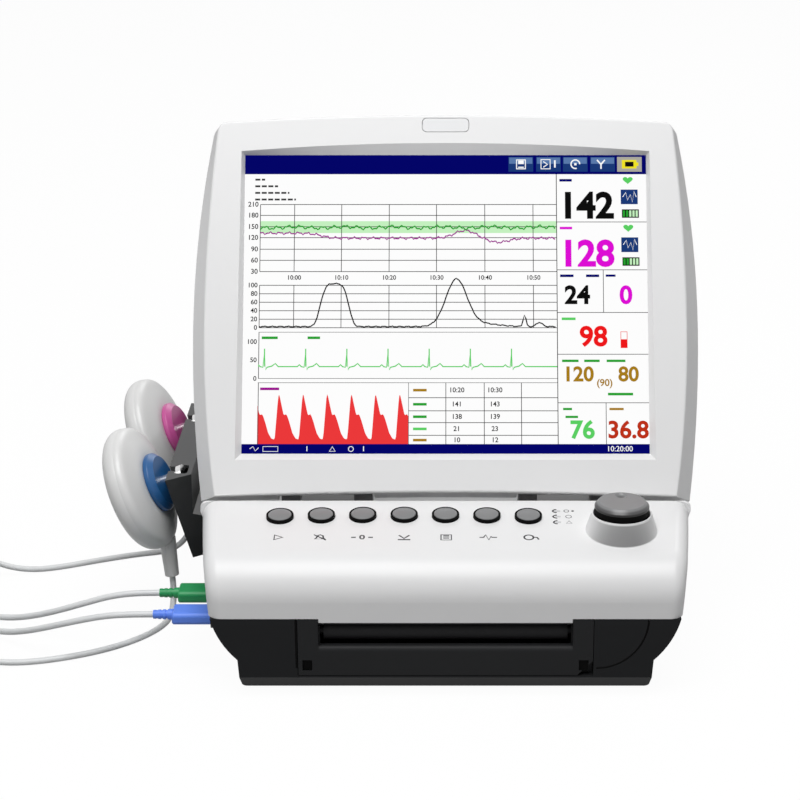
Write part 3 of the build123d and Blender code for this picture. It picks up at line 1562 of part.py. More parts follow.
# Leads: each runs from its plug to a coil beside the table's edge, and back to its transducer.
# Each route is a list of points from one end to the other, as the lead lies on the table.
lead_height = lead_radius + lead_floor_gap - foot_height
coil_outer_radius = coil_inner_radius + coil_turns_per_layer * coil_pitch
coil_top_height = lead_height + (coil_layers - 1) * coil_layer_rise
coil_mouth_x = coil_centre_x + 2 * lead_radius
front_boot_end, front_boot_dir = boot_ends["front_transducer"]
rear_boot_end, rear_boot_dir = boot_ends["rear_transducer"]
lead_exit = 8.8
routes = {
    "blue_plug_lead": [
        (relief_end_x, socket_front_y, socket_height),
        (-186.0, -134.0, socket_height),
        (-202.0, -132.5, 31.2),
        (-219.0, -128.5, 26.0),
        (-236.0, -121.5, 19.0),
        (-252.0, -112.0, 11.5),
        (-267.0, -100.5, 5.0),
        (-281.0, -89.5, 1.6),
        (-294.0, -81.0, lead_height),
        (-306.5, coil_front_y + coil_outer_radius, lead_height),
        (coil_mouth_x, coil_front_y + coil_outer_radius, lead_height),
    ],
    "blue_transducer_lead": [
        tuple(front_boot_end),
        tuple(front_boot_end + front_boot_dir * lead_exit),
        (-170.1, -62.4, 6.0),
        (-171.4, -71.6, lead_height),
        (-175.3, -84.0, lead_height),
        (-183.0, -96.0, lead_height),
        (-194.0, -107.0, lead_height),
        (-208.0, -117.0, lead_height),
        (-225.0, -125.0, lead_height),
        (-243.0, -131.0, lead_height),
        (-261.0, -134.6, 1.4),
        (-277.0, -136.0, 4.5),
        (-291.0, -136.4, 9.9),
        (-305.0, coil_front_y - coil_outer_radius, coil_top_height),
        (coil_mouth_x, coil_front_y - coil_outer_radius, coil_top_height),
    ],
    "green_plug_lead": [
        (relief_end_x, socket_rear_y, socket_height),
        (-186.0, -104.0, socket_height),
        (-202.0, -103.2, 30.6),
        (-219.0, -100.6, 24.4),
        (-236.0, -95.6, 17.2),
        (-252.0, -88.0, 10.2),
        (-267.0, -79.0, 4.4),
        (-281.0, -71.0, 1.4),
        (-294.5, -65.6, lead_height),
        (-306.5, coil_rear_y - coil_outer_radius, lead_height),
        (coil_mouth_x, coil_rear_y - coil_outer_radius, lead_height),
    ],
    "green_transducer_lead": [
        tuple(rear_boot_end),
        tuple(rear_boot_end + rear_boot_dir * lead_exit),
        (-175.7, 34.0, 6.0),
        (-185.5, 32.0, lead_height),
        (-201.5, 28.0, lead_height),
        (-218.0, 22.0, lead_height),
        (-235.0, 14.5, lead_height),
        (-252.0, 6.5, lead_height),
        (-268.0, 0.0, 1.4),
        (-282.0, -3.2, 4.2),
        (-295.0, -4.4, 9.6),
        (-307.0, coil_rear_y + coil_outer_radius, coil_top_height),
        (coil_mouth_x, coil_rear_y + coil_outer_radius, coil_top_height),
    ],
}
radius_share = 0.45
for name, points in routes.items():
    places = [Vector(*point) for point in points]
    runs = [(b - a).length for a, b in zip(places, places[1:])]
    turns = [
        (b - a).get_angle(c - b) for a, b, c in zip(places, places[1:], places[2:])
    ]
    radii = [
        radius_share * min(before, after) / math.tan(math.radians(turn / 2))
        for before, after, turn in zip(runs, runs[1:], turns)
    ]
    with BuildPart() as lead:
        with BuildLine() as path:
            FilletPolyline(*places, radius=radii)
        with BuildSketch(Plane(origin=places[0], z_dir=places[1] - places[0])):
            Circle(lead_radius)
        sweep()
    lead.part.label = name
    export_step(lead.part, f"parts/{name}.step")
    length = path.wires()[0].length
    filled = lead.part.volume / (math.pi * lead_radius**2 * length)
    print(name, "length", round(length), "volume over section times length", round(filled, 4))

for name, middle_y, start_side in (
    ("blue_lead_coil", coil_front_y, 1),
    ("green_lead_coil", coil_rear_y, -1),
):
    middle = Vector(coil_centre_x, middle_y, lead_height)
    half_turns = 2 * coil_turns_per_layer
    stops = []
    for layer in range(coil_layers):
        for half in range(half_turns + 1):
            out_share = half / half_turns if layer % 2 else 1 - half / half_turns
            radius = coil_inner_radius + out_share * (coil_outer_radius - coil_inner_radius)
            side = start_side * (-1) ** len(stops)
            stops.append(middle + Vector(0, side * radius, layer * coil_layer_rise))
    with BuildPart() as coil:
        with BuildLine() as path:
            Line(stops[0] + Vector(2 * lead_radius, 0, 0), stops[0])
            for index, (a, b) in enumerate(zip(stops, stops[1:])):
                bulge = -1 if index % 2 == 0 else 1
                ThreePointArc(a, (a + b) / 2 + Vector(bulge * (b - a).length / 2, 0, 0), b)
            Line(stops[-1], stops[-1] + Vector(2 * lead_radius, 0, 0))
        with BuildSketch(Plane(origin=stops[0] + Vector(2 * lead_radius, 0, 0), z_dir=(-1, 0, 0))):
            Circle(lead_radius)
        sweep()
    coil.part.label = name
    export_step(coil.part, f"parts/{name}.step")
    length = path.wires()[0].length
    wire = path.wires()[0]
    samples = [wire @ (step / coil_samples) for step in range(coil_samples + 1)]
    skip = math.ceil(4 * lead_radius * coil_samples / length)
    least = min(
        (samples[i] - samples[j]).length
        for i in range(len(samples))
        for j in range(i + skip, len(samples))
    )
    filled = coil.part.volume / (math.pi * lead_radius**2 * length)
    print(name, "length", round(length), "least gap", round(least - 2 * lead_radius, 2))
    print(name, "volume over section times length", round(filled, 4))
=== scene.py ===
"""A fetal monitor on a pale floor: tilting display, key panel, dark printer base, and two
round transducers on a side rack. Lengths are in metres; the front faces -Y and +Z is up."""
import math

import bpy
from mathutils import Matrix, Vector


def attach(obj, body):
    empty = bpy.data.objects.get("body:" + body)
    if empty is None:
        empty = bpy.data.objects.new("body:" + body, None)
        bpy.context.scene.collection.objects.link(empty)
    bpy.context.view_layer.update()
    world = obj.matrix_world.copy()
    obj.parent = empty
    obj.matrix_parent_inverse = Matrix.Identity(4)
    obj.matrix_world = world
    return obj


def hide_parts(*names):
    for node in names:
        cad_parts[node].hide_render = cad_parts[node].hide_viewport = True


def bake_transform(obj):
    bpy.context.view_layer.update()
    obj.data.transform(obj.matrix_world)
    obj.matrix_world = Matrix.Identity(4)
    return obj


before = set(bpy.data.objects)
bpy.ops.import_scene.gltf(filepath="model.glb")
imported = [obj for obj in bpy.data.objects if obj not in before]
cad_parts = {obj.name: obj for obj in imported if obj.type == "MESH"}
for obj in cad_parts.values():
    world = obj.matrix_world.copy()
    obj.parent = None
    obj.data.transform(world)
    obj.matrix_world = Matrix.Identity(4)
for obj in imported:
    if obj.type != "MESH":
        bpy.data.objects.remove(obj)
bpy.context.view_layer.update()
MM = 0.001


# Studio: a wide pale floor, one soft lamp overhead as in a product shot, and weak lamps
# round it. The camera stands 1.3 m in front and looks down by about 20 degrees.
class Value:
    """A number, colour or vector on its way through a finish's nodes."""

    def __init__(self, finish, socket):
        self.finish, self.socket = finish, socket

    def maths(self, operation, *values):
        sockets = dict(enumerate(values))
        return self.finish.node("ShaderNodeMath", {"operation": operation}, sockets)

    def __add__(self, other):
        return self.maths("ADD", self, other)

    def __sub__(self, other):
        return self.maths("SUBTRACT", self, other)

    def __rsub__(self, other):
        return self.maths("SUBTRACT", other, self)

    def __mul__(self, other):
        return self.maths("MULTIPLY", self, other)

    __radd__ = __add__
    __rmul__ = __mul__

    def between(self, low, high):
        """0 below low, 1 above high, and smooth in the middle."""
        settings = {"interpolation_type": "SMOOTHSTEP"}
        sockets = {"Value": self, "From Min": low, "From Max": high}
        return self.finish.node("ShaderNodeMapRange", settings, sockets)


class Finish:
    """A material whose nodes are written as expressions."""

    def __init__(self, name, **sockets):
        self.material = bpy.data.materials.new(name)
        self.material.use_nodes = True
        self.tree = self.material.node_tree
        self.shader = self.tree.nodes["Principled BSDF"]
        for socket, value in sockets.items():
            self.put(socket.replace("_", " ").title().replace("Ior", "IOR"), value)

    def node(self, kind, settings, sockets, out=0):
        """Adds a node, with its settings first and then its sockets' values or links."""
        made = self.tree.nodes.new(kind)
        for key, value in settings.items():
            setattr(made, key, value)
        for key, value in sockets.items():
            self.join(made.inputs[key], value)
        return Value(self, made.outputs[out])

    def join(self, socket, value):
        if isinstance(value, Value):
            self.tree.links.new(value.socket, socket)
        else:
            socket.default_value = value

    def put(self, socket, value):
        self.join(self.shader.inputs[socket], value)

    def place(self):
        """The point of the surface, in metres in the object's frame."""
        return self.node("ShaderNodeTexCoord", {}, {}, "Object")

    def noise(self, size, detail=2.0):
        """Cloudy noise whose lumps are about size metres across."""
        sockets = {"Vector": self.place(), "Scale": 1 / size, "Detail": detail}
        return self.node("ShaderNodeTexNoise", {}, sockets)

    def colours(self, share, low, high):
        """From the colour low at a share of 0 to high at 1."""
        return self.node("ShaderNodeMix", {"data_type": "RGBA"}, {0: share, 6: low, 7: high}, 2)

    def bump(self, height, depth):
        """Raises the surface by depth metres where height is 1."""
        sockets = {"Height": height, "Distance": depth, "Strength": 1.0}
        self.put("Normal", self.node("ShaderNodeBump", {}, sockets))


def rgb(*parts):
    return (*parts, 1.0)


scene = bpy.context.scene
scene.view_settings.view_transform = "Standard"

# The floor and the air look white to the camera and in reflections, and light little.
FLOOR_SIZE = 16
FLOOR_Z = -1.5 * MM
FLOOR_GLOW = 1.07
SEEN_SHARE = 0.9
MIRRORED_SHARE = 0.45
SEEN = "Is Camera Ray"
MIRRORED = ("Is Glossy Ray", "Is Transmission Ray")
AIR_STRENGTH = 0.1
bpy.ops.mesh.primitive_plane_add(size=FLOOR_SIZE, location=(0, 0, FLOOR_Z))
floor = bpy.context.object
floor.name = "floor"
floor_finish = Finish("floor_paper", roughness=0.9, base_color=rgb(0.36, 0.36, 0.36))
floor_ray = floor_finish.node("ShaderNodeLightPath", {}, {}, SEEN) * SEEN_SHARE
for ray in MIRRORED:
    floor_ray += floor_finish.node("ShaderNodeLightPath", {}, {}, ray) * MIRRORED_SHARE
glow = {"Color": rgb(1, 1, 1), "Strength": FLOOR_GLOW}
floor_glow = floor_finish.node("ShaderNodeEmission", {}, glow)
floor_lit = Value(floor_finish, floor_finish.shader.outputs[0])
floor_parts = {0: floor_ray, 1: floor_lit, 2: floor_glow}
floor_mix = floor_finish.node("ShaderNodeMixShader", {}, floor_parts)
floor_finish.join(floor_finish.tree.nodes["Material Output"].inputs["Surface"], floor_mix)
floor.data.materials.append(floor_finish.material)

world = bpy.data.worlds.new("studio_air")
scene.world = world
world.use_nodes = True
air = world.node_tree
air_rays = air.nodes.new("ShaderNodeLightPath")
air_shown = air_rays.outputs[SEEN]
for ray in MIRRORED:
    either = air.nodes.new("ShaderNodeMath")
    either.operation = "ADD"
    air.links.new(air_shown, either.inputs[0])
    air.links.new(air_rays.outputs[ray], either.inputs[1])
    air_shown = either.outputs[0]
air_white = air.nodes.new("ShaderNodeBackground")
air_white.inputs["Color"].default_value = rgb(1, 1, 1)
air_soft = air.nodes["Background"]
air_soft.inputs["Color"].default_value = rgb(0.98, 0.99, 1.0)
air_soft.inputs["Strength"].default_value = AIR_STRENGTH
air_mix = air.nodes.new("ShaderNodeMixShader")
air.links.new(air_shown, air_mix.inputs[0])
air.links.new(air_soft.outputs[0], air_mix.inputs[1])
air.links.new(air_white.outputs[0], air_mix.inputs[2])
air.links.new(air_mix.outputs[0], air.nodes["World Output"].inputs["Surface"])


def lamp(name, place, aim, size, power):
    """A square soft lamp that faces its aim."""
    bpy.ops.object.light_add(type="AREA", location=place)
    made = bpy.context.object
    made.name = name
    made.data.shape = "SQUARE"
    made.data.size = size
    made.data.energy = power
    made.rotation_euler = (Vector(aim) - Vector(place)).to_track_quat("-Z", "Y").to_euler()


lamp("lamp_over", (-0.15, -0.68, 1.75), (0, -0.05, 0.12), 1.3, 31)
lamp("lamp_left", (-1.5, -1.1, 0.9), (0, -0.1, 0.12), 0.9, 2)
lamp("lamp_right", (1.5, -0.9, 0.9), (0, 0, 0.12), 0.9, 1)
lamp("lamp_back", (0.4, 1.7, 1.3), (0, 0, 0.12), 1.0, 7)

CAMERA_PLACE = (0, -1.2596, 0.5678)
CAMERA_TILT = math.radians(70.4)
bpy.ops.object.camera_add(location=CAMERA_PLACE, rotation=(CAMERA_TILT, 0, 0))
camera = bpy.context.object
camera.data.lens = 94.7
camera.data.sensor_width = 36
camera.data.shift_x = -0.0569
scene.camera = camera


# Leads: one pale round cable from each plug to its transducer. Each lies on the table, and
# the length that isn't needed is wound into a coil at the left.
LEAD_DIAMETER = 3.8 * MM
LEAD_Z = 0.6
COIL_X = -322.0
COIL_INNER = 14.2
COIL_OUTER = 29.8
COIL_LAYERS = 4
COIL_HALF_TURNS = 6
COIL_RISE = 4.3
COIL_STEPS = 6
COIL_SWELL = 1.035


def coil_turns(middle_y, side):
    """The coil's points, in millimetres, from the lowest outer turn to the highest."""
    radii, heights = [], []
    for layer in range(COIL_LAYERS):
        for half in range(COIL_HALF_TURNS + 1):
            out = half / COIL_HALF_TURNS if layer % 2 else 1 - half / COIL_HALF_TURNS
            radii.append(COIL_INNER + out * (COIL_OUTER - COIL_INNER))
            heights.append(LEAD_Z + layer * COIL_RISE)
    points = []
    for index in range(len(radii) - 1):
        for step in range(COIL_STEPS):
            share = step / COIL_STEPS
            angle = side * (math.pi / 2 + math.pi * (index + share))
            radius = COIL_SWELL * (radii[index] * (1 - share) + radii[index + 1] * share)
            height = heights[index] * (1 - share) + heights[index + 1] * share
            x = COIL_X + radius * math.cos(angle)
            points.append((x, middle_y + radius * math.sin(angle), height))
    return points[1:]


def lead(name, parts, route):
    """A cable along the route."""
    curve = bpy.data.curves.new(name, "CURVE")
    curve.dimensions = "3D"
    spline = curve.splines.new("NURBS")
    spline.points.add(len(route) - 1)
    for point, place in zip(spline.points, route):
        point.co = (place[0] * MM, place[1] * MM, place[2] * MM, 1)
    spline.order_u = 3
    spline.use_endpoint_u = True
    spline.resolution_u = 5
    line = bpy.data.objects.new(name + "_line", curve)
    scene.collection.objects.link(line)
    bpy.context.view_layer.update()
    thread = bpy.data.meshes.new_from_object(line)
    curve.bevel_depth = LEAD_DIAMETER / 2
    curve.bevel_resolution = 4
    curve.use_fill_caps = True
    tube = bpy.data.objects.new(name, bpy.data.meshes.new_from_object(line))
    scene.collection.objects.link(tube)
    bpy.data.objects.remove(line)
    tube.data.materials.clear()
    tube.data.materials.append(sheath.material)
    for face in tube.data.polygons:
        face.use_smooth = True
    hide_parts(*parts)
    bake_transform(tube)


sheath = Finish("lead_sheath", roughness=0.42)
sheath_cloud = sheath.noise(0.03)
sheath.put("Base Color", sheath.colours(sheath_cloud, rgb(0.66, 0.68, 0.69), rgb(0.78, 0.79, 0.79)))
sheath.put("Roughness", 0.36 + sheath_cloud * 0.14)
sheath.bump(sheath.noise(0.0006), 0.02 * MM)

lead(
    "blue_lead",
    ("blue_plug_lead", "blue_lead_coil", "blue_transducer_lead"),
    [
        (-172.1, -134.0, 33.0), (-186.0, -134.0, 33.0), (-202.0, -132.5, 31.2),
        (-219.0, -128.5, 26.0), (-236.0, -121.5, 19.0), (-252.0, -112.0, 11.5),
        (-267.0, -100.5, 5.0), (-281.0, -89.5, 1.6), (-294.0, -81.0, LEAD_Z),
        (-306.5, -76.6, LEAD_Z), (-318.2, -76.6, LEAD_Z),
        *coil_turns(-106.4, 1),
        (-318.2, -136.2, 13.5), (-305.0, -136.2, 13.5), (-291.0, -136.4, 9.9),
        (-277.0, -136.0, 4.5), (-261.0, -134.6, 1.4), (-243.0, -131.0, LEAD_Z),
        (-225.0, -125.0, LEAD_Z), (-208.0, -117.0, LEAD_Z), (-194.0, -107.0, LEAD_Z),
        (-183.0, -96.0, LEAD_Z), (-175.3, -84.0, LEAD_Z), (-171.4, -71.6, LEAD_Z),
        (-170.1, -62.4, 6.0), (-170.2, -56.96, 15.2), (-170.9, -56.96, 23.96),
    ],
)
lead(
    "green_lead",
    ("green_plug_lead", "green_lead_coil", "green_transducer_lead"),
    [
        (-172.1, -104.0, 33.0), (-186.0, -104.0, 33.0), (-202.0, -103.2, 30.6),
        (-219.0, -100.6, 24.4), (-236.0, -95.6, 17.2), (-252.0, -88.0, 10.2),
        (-267.0, -79.0, 4.4), (-281.0, -71.0, 1.4), (-294.5, -65.6, LEAD_Z),
        (-306.5, -63.8, LEAD_Z), (-318.2, -63.8, LEAD_Z),
        *coil_turns(-34.0, -1),
        (-318.2, -4.2, 13.5), (-307.0, -4.2, 13.5), (-295.0, -4.4, 9.6),
        (-282.0, -3.2, 4.2), (-268.0, 0.0, 1.4), (-252.0, 6.5, LEAD_Z),
        (-235.0, 14.5, LEAD_Z), (-218.0, 22.0, LEAD_Z), (-201.5, 28.0, LEAD_Z),
        (-185.5, 32.0, LEAD_Z), (-175.7, 34.0, 6.0), (-170.2, 35.04, 15.2),
        (-170.9, 35.04, 23.96),
    ],
)


# Dark base: one moulding in charcoal plastic with a fine spark texture, on four rubber feet,
# closed from below with four screws. The mains inlet and both sockets sit in its walls.
def dress(finish, *names):
    """The finish goes on CAD nodes as they are."""
    for name in names:
        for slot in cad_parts[name].material_slots:
            slot.material = finish.material


def moulded(name, colour, lift, roughness, grain=0.5 * MM, depth=0.02 * MM, **sockets):
    """Moulded plastic: a faint cloudy colour, a spark-eroded grain, and a matching sheen."""
    made = Finish(name, **sockets)
    cloud = made.noise(0.09)
    fine = made.noise(grain, 3.0)
    lifted = tuple(min(1, part + lift) for part in colour)
    made.put("Base Color", made.colours(cloud * 0.7 + fine * 0.3, rgb(*colour), rgb(*lifted)))
    made.put("Roughness", (roughness - 0.06) + cloud * 0.08 + fine * 0.05)
    made.bump(fine, depth)
    return made


charcoal = moulded(
    "charcoal_plastic", (0.0105, 0.011, 0.012), 0.003, 0.5, specular_ior_level=0.12
)
foot_rubber = moulded("foot_rubber", (0.012, 0.012, 0.012), 0.006, 0.75, 0.8 * MM)
dark_trim = moulded("dark_trim_plastic", (0.03, 0.03, 0.032), 0.01, 0.5)
steel = Finish("turned_steel", metallic=1.0)
steel_cloud = steel.noise(2 * MM, 4.0)
steel.put("Base Color", steel.colours(steel_cloud, rgb(0.5, 0.5, 0.52), rgb(0.66, 0.66, 0.68)))
steel.put("Roughness", 0.26 + steel_cloud * 0.16)
dress(charcoal, "lower_housing")
dress(foot_rubber, "rubber_feet")
dress(dark_trim, "power_inlet", "input_sockets")
dress(steel, "housing_screws")


# Units in the base: green circuit boards, a bare metal supply, a shrink-wrapped battery and
# a speaker with a steel frame, all hidden when the housing is closed.
board_green = Finish("board_green", roughness=0.35)
board_tracks = board_green.noise(4 * MM, 0.0).between(0.48, 0.52)
board_green.put(
    "Base Color", board_green.colours(board_tracks, rgb(0.01, 0.09, 0.035), rgb(0.02, 0.17, 0.06))
)
battery_wrap = moulded("battery_wrap", (0.02, 0.022, 0.03), 0.01, 0.3)
dress(board_green, "main_board", "display_board", "key_board")
dress(steel, "power_supply", "speaker")
dress(battery_wrap, "battery_pack", "encoder_body")


# Printer: a rubber platen with a brass gear turns in the drawer's cheeks against the print
# head. The drawer is a slightly lighter charcoal plastic, and holds the folded paper.
brass = Finish("cut_brass", metallic=1.0)
brass_cloud = brass.noise(1.5 * MM)
brass.put("Base Color", brass.colours(brass_cloud, rgb(0.55, 0.38, 0.13), rgb(0.72, 0.53, 0.22)))
brass.put("Roughness", 0.25 + brass_cloud * 0.15)
paper = Finish("folded_paper", roughness=0.85)
paper_fibre = paper.noise(0.7 * MM, 4.0)
paper.put("Base Color", paper.colours(paper_fibre, rgb(0.82, 0.78, 0.68), rgb(0.9, 0.87, 0.8)))
paper.bump(paper_fibre, 0.03 * MM)
platen_rubber = moulded(
    "platen_rubber", (0.009, 0.009, 0.01), 0.003, 0.6, 0.4 * MM, specular_ior_level=0.2
)
dress(platen_rubber, "platen_roller")
dress(brass, "platen_gear", "motor_pinion")
dress(steel, "paper_motor")
dress(dark_trim, "print_head")
latch_black = moulded(
    "latch_black", (0.0015, 0.0015, 0.0015), 0.001, 0.6, specular_ior_level=0.05
)
drawer_grey = moulded(
    "drawer_plastic", (0.013, 0.0135, 0.0145), 0.003, 0.5, specular_ior_level=0.15
)
dress(latch_black, "drawer_latch_left", "drawer_latch_right")
dress(drawer_grey, "paper_drawer", "drawer_front")
dress(paper, "paper_pack")


# White housing: satin white plastic for the sloped panel, the deck behind it and the
# display's two shells, which meet in thin dark seams.
shell_white = moulded("shell_white", (0.78, 0.78, 0.783), 0.02, 0.36, 0.4 * MM, 0.008 * MM)
dress(shell_white, "upper_housing", "display_bezel", "display_back_cover")

# The panel's plastic is painted darker on the front of the knob's boss, below its rim, as
# painted shade, and is duller there. The panel slopes down to the front from its rear edge.
PANEL_SLOPE = math.radians(7.0)
PANEL_REAR = Vector((0, -94.0, 88.8)) * MM
BOSS_X, BOSS_Y, BOSS_RADIUS = 102.6 * MM, -127.5 * MM, 23.8 * MM
BOSS_EDGE = 0.4 * MM
BOSS_RIM = 94.9 * MM
FOOT_BLEND = (PANEL_REAR.z + 0.1 * MM, PANEL_REAR.z + 0.8 * MM)
RIM_BLEND = (BOSS_RIM - 1.3 * MM, BOSS_RIM - 0.5 * MM)
FRONT_BLEND = (BOSS_Y - 22 * MM, BOSS_Y - 2 * MM)
panel_white = Finish("panel_white")
across, along, height = (
    panel_white.node("ShaderNodeSeparateXYZ", {}, {0: panel_white.place()}, axis)
    for axis in range(3)
)
from_boss = (across - BOSS_X) * (across - BOSS_X) + (along - BOSS_Y) * (along - BOSS_Y)
near_boss = 1 - from_boss.between(BOSS_RADIUS**2, (BOSS_RADIUS + BOSS_EDGE) ** 2)
over_panel = height - (along - PANEL_REAR.y) * math.tan(PANEL_SLOPE)
under_rim = 1 - height.between(*RIM_BLEND)
boss_front_shade = 1 - along.between(*FRONT_BLEND)
boss_shade_mask = near_boss * over_panel.between(*FOOT_BLEND) * under_rim * boss_front_shade
panel_cloud = panel_white.noise(0.09)
panel_grain = panel_white.noise(0.4 * MM, 3.0)
panel_fine = panel_cloud * 0.7 + panel_grain * 0.3
panel_plain = panel_white.colours(panel_fine, rgb(0.78, 0.78, 0.783), rgb(0.8, 0.8, 0.803))
# Painted shade: a dark grey that stands in for the shade on the front of the boss.
panel_painted_shade = panel_white.colours(panel_fine, rgb(0.23, 0.23, 0.232), rgb(0.25, 0.25, 0.252))
panel_white.put("Base Color", panel_white.colours(boss_shade_mask, panel_plain, panel_painted_shade))
panel_white.put("Roughness", 0.32 + panel_cloud * 0.08 + boss_shade_mask * 0.15)
panel_white.bump(panel_grain, 0.008 * MM)
dress(panel_white, "control_panel")


# Keys: grey satin caps in black rubber rings, with a printed sign in front of each on the
# panel. Three small lamps and their signs stand beside the row.
KEY_PITCH = 24.4
KEY_ROW_X = 0.4
MIDDLE_KEY = 4
SIGN_Y = -137.0
SIGN_THICK = 0.06 * MM
SIGN_SCALE = 1.5
LAMP_SIGN_X, LAMP_SIGN_Y = 72.6, -113.0
LAMP_PITCH = 6.6
LAMP_SIGN_SCALE = 1.3
LAMP_ARC_X = -4.6
LAMP_ARC_RADII = (2.4, 1.5)

key_grey = moulded("key_grey", (0.19, 0.192, 0.195), 0.02, 0.34, 0.35 * MM, 0.01 * MM)
black_rubber_and_painted_shade = moulded(
    "black_rubber_and_painted_shade", (0.0015, 0.0015, 0.0015), 0.001, 0.6, specular_ior_level=0.05
)
lens = Finish("indicator_lens", roughness=0.2)
lens.put("Base Color", lens.colours(lens.noise(1 * MM), rgb(0.6, 0.6, 0.61), rgb(0.7, 0.7, 0.71)))
print_ink = Finish("print_ink", roughness=0.5)
print_ink.put(
    "Base Color",
    print_ink.colours(print_ink.noise(0.4 * MM), rgb(0.02, 0.02, 0.023), rgb(0.04, 0.04, 0.045)),
)
dress(key_grey, *[f"key_{index}" for index in range(1, 8)])
dress(black_rubber_and_painted_shade, "key_gasket", "knob_skirt")
dress(lens, "indicator_lenses")


def on_panel(piece, x, y):
    """Lays a piece made flat about the origin on the panel at x, y millimetres."""
    height = PANEL_REAR.z + (y * MM - PANEL_REAR.y) * math.tan(PANEL_SLOPE)
    turn = Matrix.Rotation(PANEL_SLOPE, 4, "X")
    piece.data.transform(Matrix.Translation((x * MM, y * MM, height)) @ turn)


def joined(name, pieces):
    """The pieces as one object with its place in its mesh."""
    bpy.ops.object.select_all(action="DESELECT")
    for piece in pieces:
        piece.select_set(True)
    bpy.context.view_layer.objects.active = pieces[0]
    bpy.ops.object.join()
    pieces[0].name = name
    return pieces[0]


def bar(x0, y0, x1, y1, z=0.0, thick=SIGN_THICK):
    """A flat bar between two corners, in millimetres, with its face up."""
    bpy.ops.mesh.primitive_cube_add(
        size=1,
        location=((x0 + x1) / 2 * MM, (y0 + y1) / 2 * MM, z * MM + thick / 2),
        scale=((x1 - x0) * MM, (y1 - y0) * MM, thick),
    )
    made = bpy.context.object
    bpy.ops.object.transform_apply(location=True, rotation=True, scale=True)
    return made


def stroke(points, width, z=0.0, closed=False, thick=SIGN_THICK):
    """A flat line along points in millimetres."""
    curve = bpy.data.curves.new("stroke", "CURVE")
    curve.dimensions = "3D"
    spline = curve.splines.new("POLY")
    spline.points.add(len(points) - 1)
    for point, (x, y) in zip(spline.points, points):
        point.co = (x * MM, y * MM, 0, 1)
    spline.use_cyclic_u = closed
    curve.bevel_depth = width * MM / 2
    curve.bevel_resolution = 0
    line = bpy.data.objects.new("stroke", curve)
    scene.collection.objects.link(line)
    bpy.context.view_layer.update()
    made = bpy.data.objects.new("stroke", bpy.data.meshes.new_from_object(line))
    scene.collection.objects.link(made)
    bpy.data.objects.remove(line)
    made.data.transform(Matrix.Diagonal((1, 1, thick / (width * MM), 1)))
    made.data.transform(Matrix.Translation((0, 0, z * MM + thick / 2)))
    return made


def ring(x, y, radius, width):
    """A flat ring of 20 straight sides."""
    angles = [math.tau * index / 20 for index in range(20)]
    points = [(x + radius * math.cos(a), y + radius * math.sin(a)) for a in angles]
    return stroke(points, width, closed=True)


def figures(text, x, y, size, z=0.0, bold=0.0, align="CENTER"):
    """Numerals lying flat, level with y and centred at x or ending there, in millimetres."""
    bpy.ops.object.text_add(location=(x * MM, y * MM, z * MM))
    made = bpy.context.object
    made.data.body = text
    made.data.size = size * MM
    made.data.align_x = align
    made.data.align_y = "CENTER"
    made.data.offset = bold * MM
    made.data.extrude = SIGN_THICK / 2
    made.data.resolution_u = 4
    bpy.ops.object.convert(target="MESH")
    made = bpy.context.object
    bpy.ops.object.transform_apply(location=True, rotation=True, scale=True)
    return made


# One pictogram for each key, drawn about the origin: start, bell off, zero, mark, page, wave
# and drum.
BELL_SIGN = [(-2, -1.2), (-1.3, -0.4), (-1.1, 1.2), (0, 2), (1.1, 1.2), (1.3, -0.4), (2, -1.2)]
PAGE_SIGN = [(-2, -2), (2, -2), (2, 2), (-2, 2)]
WAVE_SIGN = [(-3.4, 0), (-1.8, 0), (-1, 1.9), (0.2, -1.9), (1, 0.6), (1.5, 0), (3.4, 0)]
key_signs = [
    [stroke([(-1.4, -1.8), (1.8, 0), (-1.4, 1.8)], 0.8, closed=True)],
    [stroke(BELL_SIGN, 0.65, closed=True), stroke([(-2.4, 2), (2.4, -2)], 0.6)],
    [
        figures("0", 0, 0, 4.6, bold=0.12),
        bar(-4.2, -0.4, -2.4, 0.4), bar(2.4, -0.4, 4.2, 0.4),
    ],
    [stroke([(-2, 1.6), (0, -0.8), (2, 1.6)], 0.75), bar(-2.4, -2.1, 2.4, -1.35)],
    [stroke(PAGE_SIGN, 0.6, closed=True), *[bar(-1.2, y, 1.2, y + 0.5) for y in (-0.9, 0.1, 1.1)]],
    [stroke(WAVE_SIGN, 0.7)],
    [ring(-0.6, 0, 1.8, 0.7), stroke([(1.2, 0), (2.6, 0), (3.2, -1.6)], 0.7)],
]
signs = []
for index, pieces in enumerate(key_signs):
    sign = joined(f"key_sign_{index + 1}", pieces)
    sign.data.transform(Matrix.Diagonal((SIGN_SCALE, SIGN_SCALE, 1, 1)))
    on_panel(sign, (index - MIDDLE_KEY) * KEY_PITCH + KEY_ROW_X, SIGN_Y)
    signs.append(sign)

# Each lamp has a printed crescent round its lens, and a sign of rings or a triangle.
LAMP_ARC = [
    (
        LAMP_ARC_X - LAMP_ARC_RADII[0] * math.cos(math.radians(angle)),
        LAMP_ARC_RADII[1] * math.sin(math.radians(angle)),
    )
    for angle in range(-75, 76, 15)
]
lamp_signs = [
    [ring(-0.8, 0, 1.1, 0.35), ring(2.1, 0, 0.35, 0.6)],
    [ring(0, 0, 1.3, 0.35)],
    [stroke([(-1.3, -1), (1.3, -1), (0, 1.3)], 0.35, closed=True)],
]
for step, pieces in enumerate(lamp_signs):
    sign = joined(f"lamp_sign_{step + 1}", [*pieces, stroke(LAMP_ARC, 0.8)])
    sign.data.transform(Matrix.Diagonal((LAMP_SIGN_SCALE, LAMP_SIGN_SCALE, 1, 1)))
    on_panel(sign, LAMP_SIGN_X, LAMP_SIGN_Y + (1 - step) * LAMP_PITCH)
    signs.append(sign)
panel_signs = joined("panel_signs", signs)
panel_signs.data.materials.clear()
panel_signs.data.materials.append(print_ink.material)
